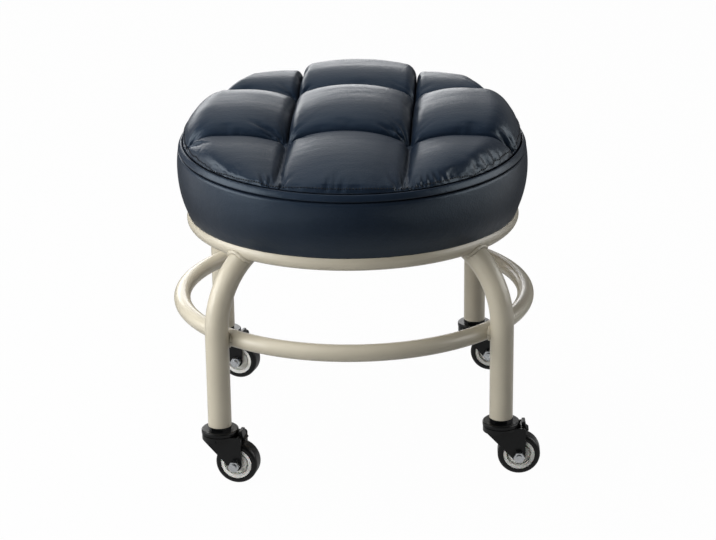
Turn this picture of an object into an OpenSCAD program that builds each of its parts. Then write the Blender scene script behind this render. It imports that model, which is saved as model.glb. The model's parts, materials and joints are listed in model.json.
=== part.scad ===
// Rolling creeper seat: a round padded stool on a welded tube frame with four small casters.
// Origin: on the floor, under the middle of the stool. +Z is up, -Y is the front.

/* [Frame] */
// Diameter of each leg tube
leg_tube_d = 22; // [18:0.5:28]
// Wall of each leg tube
leg_wall = 1.5; // [1:0.1:2.5]
// Radius of the circle that the leg feet stand on
leg_circle_r = 186.4; // [170:0.5:205]
// Centreline radius of the bend that brings each leg in under the seat ring
leg_bend_r = 75; // [60:1:90]
// How far the seat ring sinks into the top of each leg
saddle_depth = 10.8; // [8:0.1:14]
// Diameter of the seat ring and foot ring tube
ring_tube_d = 16; // [12:0.5:19]
// Wall of the ring tubes
ring_wall = 1.2; // [0.8:0.1:2]
// Centreline radius of the seat ring
seat_ring_r = 152.4; // [140:0.5:165]
// Height of the seat ring centre above the leg feet
seat_ring_h = 164.2; // [140:0.5:220]
// Height of the foot ring centre above the leg feet
foot_ring_h = 82; // [50:0.5:88]
// Depth of the saddle cut where the foot ring meets a leg
foot_ring_bite = 0.8; // [0.4:0.1:1]
// Width of the flat straps across the seat ring
strap_w = 30; // [20:1:45]
// Thickness of the straps
strap_t = 3; // [2:0.1:5]
// Diameter of the vent hole drilled in each ring
vent_d = 3; // [2:0.1:5]

/* [Seat] */
// How far the board's edge lies inside the foot of the cushion's side
board_inset = 3.5; // [1.5:0.1:8]
// Thickness of the plywood board
board_t = 9; // [6:0.5:15]
// Greatest radius of the cushion
cushion_r = 168.4; // [164:0.2:185]
// How far the cushion side draws in from its greatest radius to its foot
side_draw = 8.9; // [4:0.1:12]
// Height of the plain side band at the front, from the ring to the lower seam
band_h = 52.1; // [40:0.1:70]
// Height of the strip between the two seams
strip_h = 8.4; // [5:0.1:14]
// How far the upper seam lies inside the cushion's greatest radius
seam_inset = 7; // [3:0.1:12]
// How much higher the seams run at the back than at the front
seam_lean = 17; // [0:0.5:30]
// Height of the middle puff above the upper seam
crown_h = 38.6; // [20:0.2:60]
// Height of the sewn channels above the seam, at the middle
channel_h = 4; // [2:0.5:18]
// Distance between two neighbouring channels
cell_w = 115; // [90:1:130]
// How far the quilting sits behind the middle of the seat
quilt_shift = 11.5; // [0:0.5:34]
// Radius of the puffs' round shoulders beside the channels
shoulder_r = 10; // [5:0.5:14]
// Turn of the quilting, in degrees
quilt_turn = -6; // [-20:1:20]
// Thickness of the leatherette
vinyl_t = 1.2; // [0.8:0.1:2]
// Width of the cover that is turned under the board
fold_w = 20; // [12:1:30]
// Distance of each seat screw from the middle
screw_r = 92; // [60:1:110]
// Shank diameter of the seat screws
screw_d = 6; // [4:0.5:8]

/* [Caster] */
// Diameter of each wheel
wheel_d = 40; // [36:0.5:50]
// Width of each wheel
wheel_w = 17; // [14:0.5:22]
// Distance of the axle behind the swivel axis
trail = 17; // [15.5:0.1:20]
// Gap between the wheel and the underside of the fork crown
crown_gap = 4.8; // [4.4:0.1:8]
// Thickness of the fork's sheet steel
sheet_t = 2.2; // [1.6:0.1:3]
// Radius of the fork crown
crown_r = 17; // [16:0.1:17.2]
// Depth of the drawn skirt of the crown
skirt_h = 5; // [4:0.1:7]
// Gap that shows between the crown and the fixed race
race_gap = 1; // [0.6:0.1:1.4]
// Radius of the fixed race
race_r = 17.4; // [16.5:0.1:17.8]
// Height of the fixed race
race_h = 3.6; // [3.2:0.1:5]
// Height of the hex collar between the race and the leg
collar_h = 3.4; // [2.5:0.1:6]
// Size of the hex collar across its flats
collar_af = 19; // [17:0.1:21]
// Diameter of the threaded stem
stem_d = 10; // [9:0.1:12]
// Length of the stem inside the leg
stem_len = 28; // [20:0.5:40]
// Diameter of the king pin that the fork turns on
king_d = 8; // [6:0.1:9]
// Diameter of the bearing balls
ball_d = 4; // [3.6:0.1:4.4]
// Radius of the circle that the ball centres lie on
ball_circle_r = 11.5; // [10.5:0.1:12.5]
// Number of balls in each race
ball_count = 16; // [8:1:16]
// Turn of each caster about its stem: front left, front right, rear left, rear right
caster_turns = [-16, -5, -20, -12]; // [-180:1:180]

/* [Wheel] */
// Outer diameter of the pale rim
rim_d = 29.5; // [27:0.5:32]
// Width of the pale rim lip
rim_lip = 3.1; // [1.5:0.1:3.2]
// Outer diameter of the hub boss
boss_d = 13; // [11:0.1:15]
// Diameter of the raised step round the boss
step_d = 19.5; // [15:0.5:20]
// Diameter of the axle bolt
axle_d = 6; // [5:0.1:7]
// Wall of the sleeve that the wheel turns on
sleeve_wall = 1.2; // [0.8:0.1:1.5]
// Size of the bolt head and nut across their flats
hex_af = 9.3; // [8.5:0.1:12]
// Height of the bolt head
bolt_head_h = 4; // [3:0.1:5]
// Height of the nut
nut_h = 5.5; // [4:0.1:7]

/* [Brake] */
// Height of the brake pin above the underside of the crown
brake_pin_rise = -0.3; // [-0.8:0.1:0.4]
// Distance of the brake pin behind the edge of the crown
brake_pin_back = 3; // [3:0.1:4]
// Diameter of the brake pin
brake_pin_d = 3; // [2.5:0.1:3.2]
// Height of the brake pedal above its pin
pedal_h = 7.5; // [6:0.1:10.4]
// Width of the brake pedal
pedal_w = 10; // [8:0.5:16]

/* [Hidden] */

// Places of the four corners, as angles and list positions
FRONT_LEFT = 0;
FRONT_RIGHT = 1;
REAR_LEFT = 2;
REAR_RIGHT = 3;
corner_angles = [225, 315, 135, 45];

// Facets of round parts and a common overrun for cuts
$fn = 96;
overrun = 1;
// Running clearance of a pin in its bore, and clearance between parts that pass
fit = 0.1;
pass = 0.3;

// Caster heights above the floor
axle_z = wheel_d/2;
crown_under = wheel_d + crown_gap;
crown_top = crown_under + sheet_t;
ball_groove = 0.22*ball_d;
ball_z = crown_top - ball_groove + ball_d/2;
race_under = ball_z + ball_d/2 - ball_groove;
race_lip_z = crown_top + race_gap;
race_top = race_lip_z + race_h;
foot_z = race_top + collar_h;
groove_r = ball_d/2 + fit/2;
race_edge_r = 0.35*race_h;
race_lip_w = 0.1*race_r;
king_head_r = 1.6*king_d/2;
king_head_h = 0.2*king_d;

// Fork and wheel
boss_w = wheel_w + 6*pass;
cheek_in = boss_w/2 + fit;
cheek_out = cheek_in + sheet_t;
cheek_end_r = 0.36*trail;
cheek_front = 0.74*crown_r;
sleeve_r = axle_d/2 + sleeve_wall;
tyre_edge_r = 0.2*wheel_w;
tyre_seat_w = 0.94*wheel_w;
web_w = 0.38*wheel_w;
step_h = 0.18*wheel_w;
bolt_end = 0.3*axle_d;
brake_x = crown_r + brake_pin_back;
brake_z = crown_under + brake_pin_rise;
barrel_r = 0.87*brake_pin_back;
shoe_w = 0.75*brake_pin_back;
cheek_back = max(trail + cheek_end_r, brake_x + brake_pin_d/2 + 0.6*sheet_t);
ear_r = cheek_back - brake_x;

// Frame heights above the floor
leg_r = leg_tube_d/2;
ring_r = ring_tube_d/2;
seat_ring_z = foot_z + seat_ring_h;
foot_ring_z = foot_z + foot_ring_h;
ring_top = seat_ring_z + ring_r;
foot_ring_r = leg_circle_r - leg_r - ring_r + foot_ring_bite;
// The bend's centre lies where its tube just takes the seat ring to the saddle depth
bend_x = leg_circle_r - leg_bend_r;
bend_reach = leg_bend_r + leg_r + ring_r - saddle_depth;
// (rounded, so that the bend and the straight tube below it meet in one plane)
bend_z = round(100*(seat_ring_z - sqrt(bend_reach*bend_reach - pow(seat_ring_r - bend_x, 2))))/100;
bend_sweep = atan2(seat_ring_z - bend_z, seat_ring_r - bend_x) + 7;
strap_z = ring_top - strap_t;
strap_end_r = seat_ring_r - 0.45*ring_r;
socket_len = stem_len + leg_wall;
screw_head_r = 0.95*screw_d;
screw_head_h = 0.5*screw_d;
tee_wall = 1;
tee_flange_r = 1.5*screw_d;
tee_flange_t = 1.2;
screw_angles = [0, 90, 180, 270];

// Cushion
board_r = cushion_r - side_draw - board_inset;
seam_r = cushion_r - seam_inset;
board_z = ring_top + vinyl_t;
board_top = board_z + board_t;
seam_z = ring_top + band_h + strip_h;
bulge_share = 0.69;
band_steps = 6;
around = 72;
panel_edge_t = 2;
// (a hair under the panel, so that rounding never sinks it in the foam)
foam_top = band_h + strip_h - panel_edge_t - fit/10;
// Height of each puff as a share of the middle one: front, middle and rear rows
puff_shares = [[0.46, 0.66, 0.57], [0.85, 1, 0.98], [0.72, 0.94, 0.72]];
// Grid lines in a cell: from a channel as shares of the shoulder, across the middle, and in from the seam
sewn_shares = [0, 0.1, 0.4, 1];
middle_shares = [0.27, 0.5, 0.73];
seam_shares = [0, 0.04, 0.12, 0.25, 0.42, 0.6, 0.77];
cell_steps = 10;
// How far a puff sinks at its sides: the outer puffs and the middle one, from the front row back
side_fall_shares = [[0.66, 0.67], [0.45, 0.37], [0.1, 0.15]];
side_peak_share = 0.46;
front_fall_share = 0.3;
rear_fall_share = 0.35;
row_peak_shares = [0.66, 0.66, 0.55];
// How much of a cell the puff takes to rise from the round seam: sides, front and rear
side_roll_share = 0.3;
front_roll_share = 0.6;
rear_roll_share = 0.2;
bow_power = 2.2;
roll_blend = 0.7;
edge_cell_w = seam_r - cell_w/2;
column_lines = [-cell_w/2, cell_w/2];
row_lines = [quilt_shift - cell_w/2, quilt_shift + cell_w/2];

frame_colour = "#b9ad9a";
hidden_steel = "#a9adb0";
black_steel = "#1d1e20";
vinyl_colour = "#2a313c";

// A value part of the way from one to another
function lerp(a, b, t) = a + (b - a)*t;

// Point of a circle that a line from outside touches; side is 1 or -1
function touch_point(from, centre, r, side) =
    let (d = centre - from, dist = norm(d), turn = atan2(d[1], d[0]) + side*(90 + asin(r/dist)))
    centre + r*[cos(turn), sin(turn)];

// Frame

module seat_ring() {
    color(frame_colour)
    difference() {
        translate([0, 0, seat_ring_z]) tube_ring(seat_ring_r);
        translate([0, 0, seat_ring_z - ring_tube_d]) vent_at(seat_ring_r);
    }
}

module tube_ring(radius) {
    rotate_extrude()
    translate([radius, 0])
    difference() {
        circle(r = ring_r);
        circle(r = ring_r - ring_wall);
    }
}

module solid_ring(radius) {
    rotate_extrude() translate([radius, 0]) circle(r = ring_r);
}

module vent_at(radius) {
    rotate(15) translate([radius, 0, 0]) cylinder(d = vent_d, h = ring_tube_d);
}

module foot_ring() {
    color(frame_colour)
    difference() {
        translate([0, 0, foot_ring_z]) tube_ring(foot_ring_r);
        translate([0, 0, foot_ring_z - ring_tube_d]) vent_at(foot_ring_r);
        for (angle = corner_angles)
            rotate(angle)
            translate([leg_circle_r, 0, foot_ring_z - ring_tube_d])
            cylinder(r = leg_r, h = 2*ring_tube_d);
    }
}

// One J-shaped leg: a straight tube, a bend inwards and a saddle cut for the seat ring
module leg(corner) {
    color(frame_colour)
    rotate(corner_angles[corner])
    difference() {
        union() {
            translate([leg_circle_r, 0, foot_z])
            difference() {
                cylinder(r = leg_r, h = bend_z - foot_z);
                translate([0, 0, -overrun])
                cylinder(r = leg_r - leg_wall, h = bend_z - foot_z + 2*overrun);
            }
            translate([bend_x, 0, bend_z])
            rotate([90, 0, 0])
            rotate_extrude(angle = bend_sweep)
            translate([leg_bend_r, 0])
            difference() {
                circle(r = leg_r);
                circle(r = leg_r - leg_wall);
            }
        }
        translate([0, 0, seat_ring_z]) solid_ring(seat_ring_r);
        translate([bend_x, -leg_tube_d, seat_ring_z])
        cube([leg_circle_r, 2*leg_tube_d, leg_circle_r]);
    }
}

// Straps: one runs right across, the other comes in two halves welded to its edges
module strap_long() {
    color(frame_colour)
    strap_blank(-strap_end_r, strap_end_r, [0, 180]);
}

module strap_short() {
    color(frame_colour)
    rotate(90) {
        strap_blank(strap_w/2, strap_end_r, [0]);
        strap_blank(-strap_end_r, -strap_w/2, [180]);
    }
}

module strap_blank(from_x, to_x, hole_angles) {
    difference() {
        intersection() {
            translate([from_x, -strap_w/2, strap_z]) cube([to_x - from_x, strap_w, strap_t]);
            translate([0, 0, strap_z - overrun]) cylinder(r = strap_end_r, h = strap_t + 2*overrun);
        }
        translate([0, 0, seat_ring_z]) solid_ring(seat_ring_r);
        for (angle = hole_angles)
            rotate(angle)
            translate([screw_r, 0, strap_z - overrun])
            cylinder(r = screw_d/2 + fit, h = strap_t + 2*overrun);
    }
}

module stem_sockets() {
    color(hidden_steel)
    for (angle = corner_angles)
        rotate(angle)
        translate([leg_circle_r, 0, foot_z])
        difference() {
            cylinder(r = leg_r - leg_wall, h = socket_len);
            translate([0, 0, -overrun]) cylinder(d = stem_d, h = socket_len + 2*overrun);
        }
}

// Seat board and its fasteners

module seat_board() {
    color("#b98d5a")
    difference() {
        translate([0, 0, board_z]) cylinder(r = board_r, h = board_t);
        for (angle = screw_angles)
            rotate(angle)
            translate([screw_r, 0, board_z]) {
                translate([0, 0, -overrun])
                cylinder(r = screw_d/2 + tee_wall, h = board_t + 2*overrun);
                translate([0, 0, board_t - tee_flange_t])
                cylinder(r = tee_flange_r, h = tee_flange_t + overrun);
            }
    }
}

module tee_nuts() {
    color(hidden_steel)
    for (angle = screw_angles)
        rotate(angle)
        translate([screw_r, 0, board_z])
        difference() {
            union() {
                cylinder(r = screw_d/2 + tee_wall, h = board_t);
                translate([0, 0, board_t - tee_flange_t]) cylinder(r = tee_flange_r, h = tee_flange_t);
            }
            translate([0, 0, -overrun]) cylinder(d = screw_d, h = board_t + 2*overrun);
        }
}

module seat_screws() {
    color(hidden_steel)
    for (angle = screw_angles)
        rotate(angle)
        translate([screw_r, 0, strap_z - screw_head_h]) {
            cylinder(r = screw_head_r, h = screw_head_h);
            cylinder(d = screw_d, h = screw_head_h + strap_t + vinyl_t + board_t - tee_flange_t);
        }
}

// Cushion

// Lift of the leaning seams at a place y, for a weight of 0 at the ring and 1 at the seams
function lean(y, weight) = weight*seam_lean*(0.5 + y/(2*seam_r));

// Radius of the plain side at a share of its height, drawn in above and below the bulge
function side_r(share) = cushion_r - side_draw*pow((share - bulge_share)/bulge_share, 2);

// Outline of the side: radius, height over the ring and lean weight
function side_line(inset) =
    [for (i = [0:band_steps]) let (u = i/band_steps) [side_r(u) - inset, u*band_h, u]];

// A closed outline swept round the seat; its points are radius, height over the ring, lean weight
module swept_loop(outline) {
    count = len(outline);
    polyhedron(
        points = [for (i = [0:around - 1], p = outline) seat_point(p, 360*i/around)],
        faces = [
            for (i = [0:around - 1], j = [0:count - 1])
                let (a = i*count + j, b = i*count + (j + 1)%count,
                     c = ((i + 1)%around)*count + (j + 1)%count, d = ((i + 1)%around)*count + j)
                each [[a, b, c], [a, c, d]]]);
}

// An open outline swept round the seat and closed by a flat face at each end
module swept_plug(outline) {
    count = len(outline);
    polyhedron(
        points = [for (p = outline, i = [0:around - 1]) seat_point(p, 360*i/around)],
        faces = [
            [for (i = [0:around - 1]) i],
            [for (i = [around - 1:-1:0]) (count - 1)*around + i],
            for (j = [0:count - 2], i = [0:around - 1])
                let (a = j*around + i, b = j*around + (i + 1)%around, c = b + around, d = a + around)
                each [[a, c, b], [a, d, c]]]);
}

function seat_point(p, angle) =
    let (x = p[0]*cos(angle), y = p[0]*sin(angle)) [x, y, ring_top + p[1] + lean(y, p[2])];

// Plain side of the cover, with its edge turned under the board
module side_band() {
    color(vinyl_colour)
    swept_loop(concat(
        [[board_r - fold_w, 0, 0]],
        side_line(0),
        [for (p = side_line(vinyl_t)) if (p[2] == 1) p],
        [for (i = [band_steps - 1:-1:1]) side_line(vinyl_t)[i]],
        [[board_r + pass, vinyl_t, 0], [board_r - fold_w, vinyl_t, 0]]));
}

// Strip between the two seams
module seam_strip() {
    color(vinyl_colour)
    swept_loop([
        [side_r(1), band_h, 1],
        [seam_r + pass + vinyl_t, band_h + strip_h, 1],
        [seam_r + pass, band_h + strip_h, 1],
        [seam_r + pass, band_h + strip_h - panel_edge_t, 1],
        [side_r(1) - vinyl_t, band_h, 1]]);
}

// Foam block that fills the cover above the board, from the board's edge up to the top panel
module foam_slab() {
    inset = vinyl_t + pass;
    color("#e6d9a8")
    swept_plug(concat(
        [[board_r, board_t + vinyl_t, 0]],
        [for (p = side_line(inset)) if (p[1] > 1.4*(board_t + vinyl_t)) p],
        [[seam_r - inset, foam_top, 1]]));
}

// Puffed top panel. Straight channels cut the round panel into nine cells, each
// cell is a patch of grid points, and the outer patches run out to the round seam.
function rim_at(v) = sqrt(seam_r*seam_r - v*v);

// Share across a band at its grid line k; bands 0 and 2 run out to the round seam
function sewn_share(k, width) = sewn_shares[k]*shoulder_r/width;
function edge_share(k) = k < len(seam_shares) ? seam_shares[k] : 1 - sewn_share(cell_steps - k, edge_cell_w);
function line_share(band, k) =
    band == 0 ? edge_share(k)
    : band == 2 ? 1 - edge_share(cell_steps - k)
    : k < len(sewn_shares) ? sewn_share(k, cell_w)
    : k > cell_steps - len(sewn_shares) ? 1 - sewn_share(cell_steps - k, cell_w)
    : middle_shares[k - len(sewn_shares)];

// Gentle arch of a puff, its rise from the round seam, and the drop of its shoulder
function bow(t, peak, low_fall, high_fall) =
    1 - (t < peak
        ? low_fall*pow((peak - t)/peak, bow_power)
        : high_fall*pow((t - peak)/(1 - peak), bow_power));
function roll(t, share) = t < share ? pow(1 - pow(1 - t/share, bow_power), roll_blend) : 1;
function shoulder(distance) =
    let (share = max(0, 1 - distance/shoulder_r)) shoulder_r*(1 - sqrt(1 - share*share));
function both_shoulders(band, t) =
    let (width = band == 1 ? cell_w : edge_cell_w)
    (band == 0 ? 0 : shoulder(t*width)) + (band == 2 ? 0 : shoulder((1 - t)*width));

// Height of puff a, b over its channels at the shares s and t
function puff_rise(a, b, s, t) =
    let (outer = side_fall_shares[b][0], middle = side_fall_shares[b][1],
         across = a == 0 ? bow(s, side_peak_share, 0, outer)*roll(s, side_roll_share)
                : a == 1 ? bow(s, 0.5, middle, middle)
                : bow(s, 1 - side_peak_share, outer, 0)*roll(1 - s, side_roll_share),
         along = bow(t, row_peak_shares[b], b == 0 ? 0 : front_fall_share, b == 2 ? 0 : rear_fall_share)
               *(b == 0 ? roll(t, front_roll_share) : b == 2 ? roll(1 - t, rear_roll_share) : 1))
    (crown_h - channel_h)*puff_shares[b][a]*across*along - both_shoulders(a, s) - both_shoulders(b, t);

// Corner patch in its own quarter: from channel crossing [c, d] out to the round seam
function corner_patch(c, d, s, t) =
    let (a_row = atan2(d, rim_at(d)), a_col = atan2(rim_at(c), c), a_mid = (a_row + a_col)/2,
         bottom = [lerp(c, rim_at(d), s), d],
         left = [c, lerp(d, rim_at(c), t)],
         right = seam_r*[cos(lerp(a_row, a_mid, t)), sin(lerp(a_row, a_mid, t))],
         top = seam_r*[cos(lerp(a_col, a_mid, s)), sin(lerp(a_col, a_mid, s))],
         blend = (1 - s)*(1 - t)*[c, d] + s*(1 - t)*[rim_at(d), d]
               + (1 - s)*t*[c, rim_at(c)] + s*t*seam_r*[cos(a_mid), sin(a_mid)])
    (1 - t)*bottom + t*top + (1 - s)*left + s*right - blend;

// Place in plan of a grid point: band 0, 1 or 2 and the share across it, each way
function plan_point(a, b, s, t) =
    let (sx = a == 0 ? -1 : 1, sy = b == 0 ? -1 : 1,
         c = column_lines[a == 0 ? 0 : 1], d = row_lines[b == 0 ? 0 : 1],
         out_s = a == 0 ? 1 - s : s, out_t = b == 0 ? 1 - t : t)
    a == 1 && b == 1
        ? [lerp(column_lines[0], column_lines[1], s), lerp(row_lines[0], row_lines[1], t)]
    : b == 1
        ? let (y = lerp(row_lines[0], row_lines[1], t)) [lerp(c, sx*rim_at(y), out_s), y]
    : a == 1
        ? let (x = lerp(column_lines[0], column_lines[1], s)) [x, lerp(d, sy*rim_at(x), out_t)]
    : let (q = corner_patch(sx*c, sy*d, out_s, out_t)) [sx*q[0], sy*q[1]];

function quilt_point(i, j) =
    let (last = 3*cell_steps,
         a = min(2, floor(i/cell_steps)), b = min(2, floor(j/cell_steps)),
         s = line_share(a, i - a*cell_steps), t = line_share(b, j - b*cell_steps),
         p = plan_point(a, b, s, t),
         sewn = i%cell_steps == 0 || j%cell_steps == 0,
         base = channel_h*(1 - min(1, (p*p)/(seam_r*seam_r))),
         puff = sewn ? 0 : max(vinyl_t/2, puff_rise(a, b, s, t)),
         x = p[0]*cos(quilt_turn) - p[1]*sin(quilt_turn),
         y = p[0]*sin(quilt_turn) + p[1]*cos(quilt_turn))
    [x, y, seam_z + base + puff + lean(y, 1)];

module quilted_top() {
    last = 3*cell_steps;
    wide = last + 1;
    rim = concat(
        [for (i = [0:last - 1]) i*wide],
        [for (j = [0:last - 1]) last*wide + j],
        [for (i = [last:-1:1]) i*wide + last],
        [for (j = [last:-1:1]) j]);
    top = [for (i = [0:last], j = [0:last]) quilt_point(i, j)];
    count = len(rim);
    below = wide*wide;
    color(vinyl_colour)
    polyhedron(
        points = concat(top, [for (k = rim) top[k] - [0, 0, panel_edge_t]]),
        faces = [
            for (i = [0:last - 1], j = [0:last - 1])
                let (a = i*wide + j, b = a + 1, c = a + wide + 1, d = a + wide)
                each [[a, b, c], [a, c, d]],
            for (k = [0:count - 1])
                let (n = (k + 1)%count)
                each [[rim[k], rim[n], below + n], [rim[k], below + n, below + k]],
            [for (k = [0:count - 1]) below + k]]);
}

// Casters. Each stands at its leg's foot; its own +X is the side that the wheel trails on.

module at_corner(corner) {
    rotate(corner_angles[corner])
    translate([leg_circle_r, 0, 0])
    rotate(caster_turns[corner] - corner_angles[corner])
    children();
}

// Threaded stem, hex collar, king pin and the rivet head that keeps the fork on
module stem(corner) {
    color(black_steel)
    at_corner(corner) {
        translate([0, 0, foot_z]) cylinder(d = stem_d, h = stem_len);
        translate([0, 0, race_top]) cylinder(d = collar_af/cos(30), h = collar_h, $fn = 6);
        translate([0, 0, crown_under - pass/2]) cylinder(d = king_d, h = race_top - crown_under + pass/2);
        translate([0, 0, crown_under - pass/2 - king_head_h]) cylinder(r = king_head_r, h = king_head_h);
    }
}

// Fixed race: a shallow round plate with a rounded shoulder, a lip and a ball groove
module race(corner) {
    color(black_steel)
    at_corner(corner)
    difference() {
        rotate_extrude() {
            translate([0, race_lip_z]) square([race_r, race_h - race_edge_r]);
            translate([0, race_lip_z]) square([race_r - race_edge_r, race_h]);
            translate([race_r - race_edge_r, race_top - race_edge_r])
            intersection() {
                circle(r = race_edge_r);
                square(race_edge_r);
            }
        }
        translate([0, 0, race_lip_z - overrun])
        cylinder(r = race_r - race_lip_w, h = race_under - race_lip_z + overrun);
        ball_channel();
        translate([0, 0, race_lip_z]) cylinder(d = king_d, h = race_h + overrun);
    }
}

module ball_channel() {
    translate([0, 0, ball_z])
    rotate_extrude()
    translate([ball_circle_r, 0])
    circle(r = groove_r);
}

module balls(corner) {
    color("#c9ccd0")
    at_corner(corner)
    for (i = [0:ball_count - 1])
        rotate(360*i/ball_count)
        translate([ball_circle_r, 0, ball_z])
        sphere(d = ball_d, $fn = 32);
}

// Pressed fork: round drawn crown with a skirt in front, and two cheeks down to the axle
module fork(corner) {
    color(black_steel)
    at_corner(corner)
    difference() {
        union() {
            translate([0, 0, crown_under]) cylinder(r = crown_r, h = sheet_t);
            crown_skirt();
            cheek(cheek_in);
            cheek(-cheek_out);
        }
        ball_channel();
        translate([0, 0, crown_under - overrun])
        cylinder(r = king_d/2 + fit, h = sheet_t + 2*overrun);
        translate([trail, cheek_out + overrun, axle_z])
        rotate([90, 0, 0])
        cylinder(d = axle_d, h = 2*cheek_out + 2*overrun);
        translate([brake_x, cheek_out + overrun, brake_z])
        rotate([90, 0, 0])
        cylinder(d = brake_pin_d, h = 2*cheek_out + 2*overrun);
    }
}

module crown_skirt() {
    difference() {
        translate([0, 0, crown_top - skirt_h]) cylinder(r = crown_r, h = skirt_h);
        translate([0, 0, crown_top - skirt_h - overrun])
        cylinder(r = crown_r - sheet_t, h = skirt_h - sheet_t + overrun);
        translate([0, -crown_r, crown_top - skirt_h - overrun])
        cube([crown_r, 2*crown_r, skirt_h - sheet_t + overrun]);
    }
}

// One flat cheek, from its inner face out by the sheet thickness
module cheek(from_y) {
    axle = [trail, axle_z];
    front = [-cheek_front, crown_top - skirt_h];
    below = touch_point(front, axle, cheek_end_r, -1);
    translate([0, from_y + sheet_t, 0])
    rotate([90, 0, 0])
    linear_extrude(height = sheet_t) {
        polygon([
            [-cheek_front, crown_top],
            front,
            below,
            axle,
            [trail + cheek_end_r, axle_z],
            [cheek_back, brake_z],
            [brake_x, brake_z + ear_r],
            [brake_x - ear_r, crown_top]]);
        translate(axle) circle(r = cheek_end_r);
        translate([brake_x, brake_z]) circle(r = ear_r);
    }
}

module axle_bolt(corner) {
    color("#d4d6d8")
    at_corner(corner)
    translate([trail, 0, axle_z])
    rotate([90, 0, 0]) {
        translate([0, 0, -cheek_out])
        cylinder(d = axle_d, h = 2*cheek_out + nut_h + bolt_end);
        translate([0, 0, -cheek_out - bolt_head_h])
        cylinder(d = hex_af/cos(30), h = bolt_head_h, $fn = 6);
    }
}

module axle_nut(corner) {
    color("#d4d6d8")
    at_corner(corner)
    translate([trail, 0, axle_z])
    rotate([90, 0, 0])
    translate([0, 0, cheek_out])
    difference() {
        cylinder(d = hex_af/cos(30), h = nut_h, $fn = 6);
        translate([0, 0, -overrun]) cylinder(d = axle_d, h = nut_h + 2*overrun);
    }
}

module axle_sleeve(corner) {
    color(hidden_steel)
    at_corner(corner)
    translate([trail, cheek_in, axle_z])
    rotate([90, 0, 0])
    difference() {
        cylinder(r = sleeve_r, h = 2*cheek_in);
        translate([0, 0, -overrun]) cylinder(d = axle_d, h = 2*cheek_in + 2*overrun);
    }
}

// Pale wheel centre: rim with a broad lip, recessed web, raised step and a long boss
module hub(corner) {
    rim_r = rim_d/2;
    color("#c9c8c3")
    at_corner(corner)
    translate([trail, 0, axle_z])
    rotate([90, 0, 0])
    difference() {
        union() {
            translate([0, 0, -tyre_seat_w/2])
            difference() {
                cylinder(r = rim_r, h = tyre_seat_w);
                translate([0, 0, -overrun])
                cylinder(r = rim_r - rim_lip, h = tyre_seat_w + 2*overrun);
            }
            translate([0, 0, -web_w/2]) cylinder(r = rim_r - rim_lip, h = web_w);
            translate([0, 0, -boss_w/2]) cylinder(d = boss_d, h = boss_w);
            translate([0, 0, -web_w/2 - step_h]) cylinder(d = step_d, h = web_w + 2*step_h);
        }
        translate([0, 0, -boss_w]) cylinder(r = sleeve_r + fit, h = 2*boss_w);
    }
}

module tyre(corner) {
    seat_r = rim_d/2;
    shoulder_w = wheel_w/2 - tyre_edge_r;
    color("#161719")
    at_corner(corner)
    translate([trail, 0, axle_z])
    rotate([90, 0, 0])
    difference() {
        rotate_extrude() {
            translate([0, -wheel_w/2]) square([wheel_d/2 - tyre_edge_r, wheel_w]);
            translate([0, -shoulder_w]) square([wheel_d/2, 2*shoulder_w]);
            for (side = [-1, 1])
                translate([wheel_d/2 - tyre_edge_r, side*shoulder_w])
                intersection() {
                    circle(r = tyre_edge_r);
                    translate([0, -tyre_edge_r]) square([tyre_edge_r, 2*tyre_edge_r]);
                }
        }
        translate([0, 0, -wheel_w]) cylinder(r = seat_r, h = 2*wheel_w);
    }
}

// Short toe lever: a barrel on the pin, a pedal standing up behind the race and a shoe over the tyre
module brake_lever(corner) {
    half_w = pedal_w/2;
    barrel_w = 2*(cheek_in - pass);
    color(black_steel)
    at_corner(corner)
    translate([brake_x, 0, brake_z])
    difference() {
        union() {
            translate([0, barrel_w/2, 0])
            rotate([90, 0, 0])
            cylinder(r = barrel_r, h = barrel_w);
            translate([0, half_w, 0])
            rotate([90, 0, 0])
            linear_extrude(height = pedal_w)
            polygon([
                [-0.25*barrel_r, 0],
                [-0.25*barrel_r, 0.94*pedal_h],
                [0, pedal_h],
                [0.28*pedal_h, pedal_h],
                [0.34*pedal_h, 0.94*pedal_h],
                [0.5*pedal_h, 0.15*pedal_h],
                [0.5*pedal_h + shoe_w, -0.2*barrel_r],
                [0.5*pedal_h + shoe_w, -0.6*barrel_r],
                [0, -barrel_r]]);
        }
        translate([0, cheek_out, 0])
        rotate([90, 0, 0])
        cylinder(r = brake_pin_d/2 + fit, h = 2*cheek_out);
    }
}

module brake_pin(corner) {
    color(black_steel)
    at_corner(corner)
    translate([brake_x, cheek_out, brake_z])
    rotate([90, 0, 0])
    cylinder(d = brake_pin_d, h = 2*cheek_out);
}

seat_ring();
strap_long();
strap_short();
foot_ring();
stem_sockets();
leg(FRONT_LEFT);  // leg_front_left
leg(FRONT_RIGHT);  // leg_front_right
leg(REAR_LEFT);  // leg_rear_left
leg(REAR_RIGHT);  // leg_rear_right
seat_board();
tee_nuts();
seat_screws();
foam_slab();
quilted_top();
seam_strip();
side_band();
stem(FRONT_LEFT);  // front_left_stem
race(FRONT_LEFT);  // front_left_race
balls(FRONT_LEFT);  // front_left_balls
fork(FRONT_LEFT);  // front_left_fork
axle_bolt(FRONT_LEFT);  // front_left_axle_bolt
axle_nut(FRONT_LEFT);  // front_left_axle_nut
axle_sleeve(FRONT_LEFT);  // front_left_axle_sleeve
hub(FRONT_LEFT);  // front_left_hub
tyre(FRONT_LEFT);  // front_left_tyre
brake_lever(FRONT_LEFT);  // front_left_brake_lever
brake_pin(FRONT_LEFT);  // front_left_brake_pin
stem(FRONT_RIGHT);  // front_right_stem
race(FRONT_RIGHT);  // front_right_race
balls(FRONT_RIGHT);  // front_right_balls
fork(FRONT_RIGHT);  // front_right_fork
axle_bolt(FRONT_RIGHT);  // front_right_axle_bolt
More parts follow.
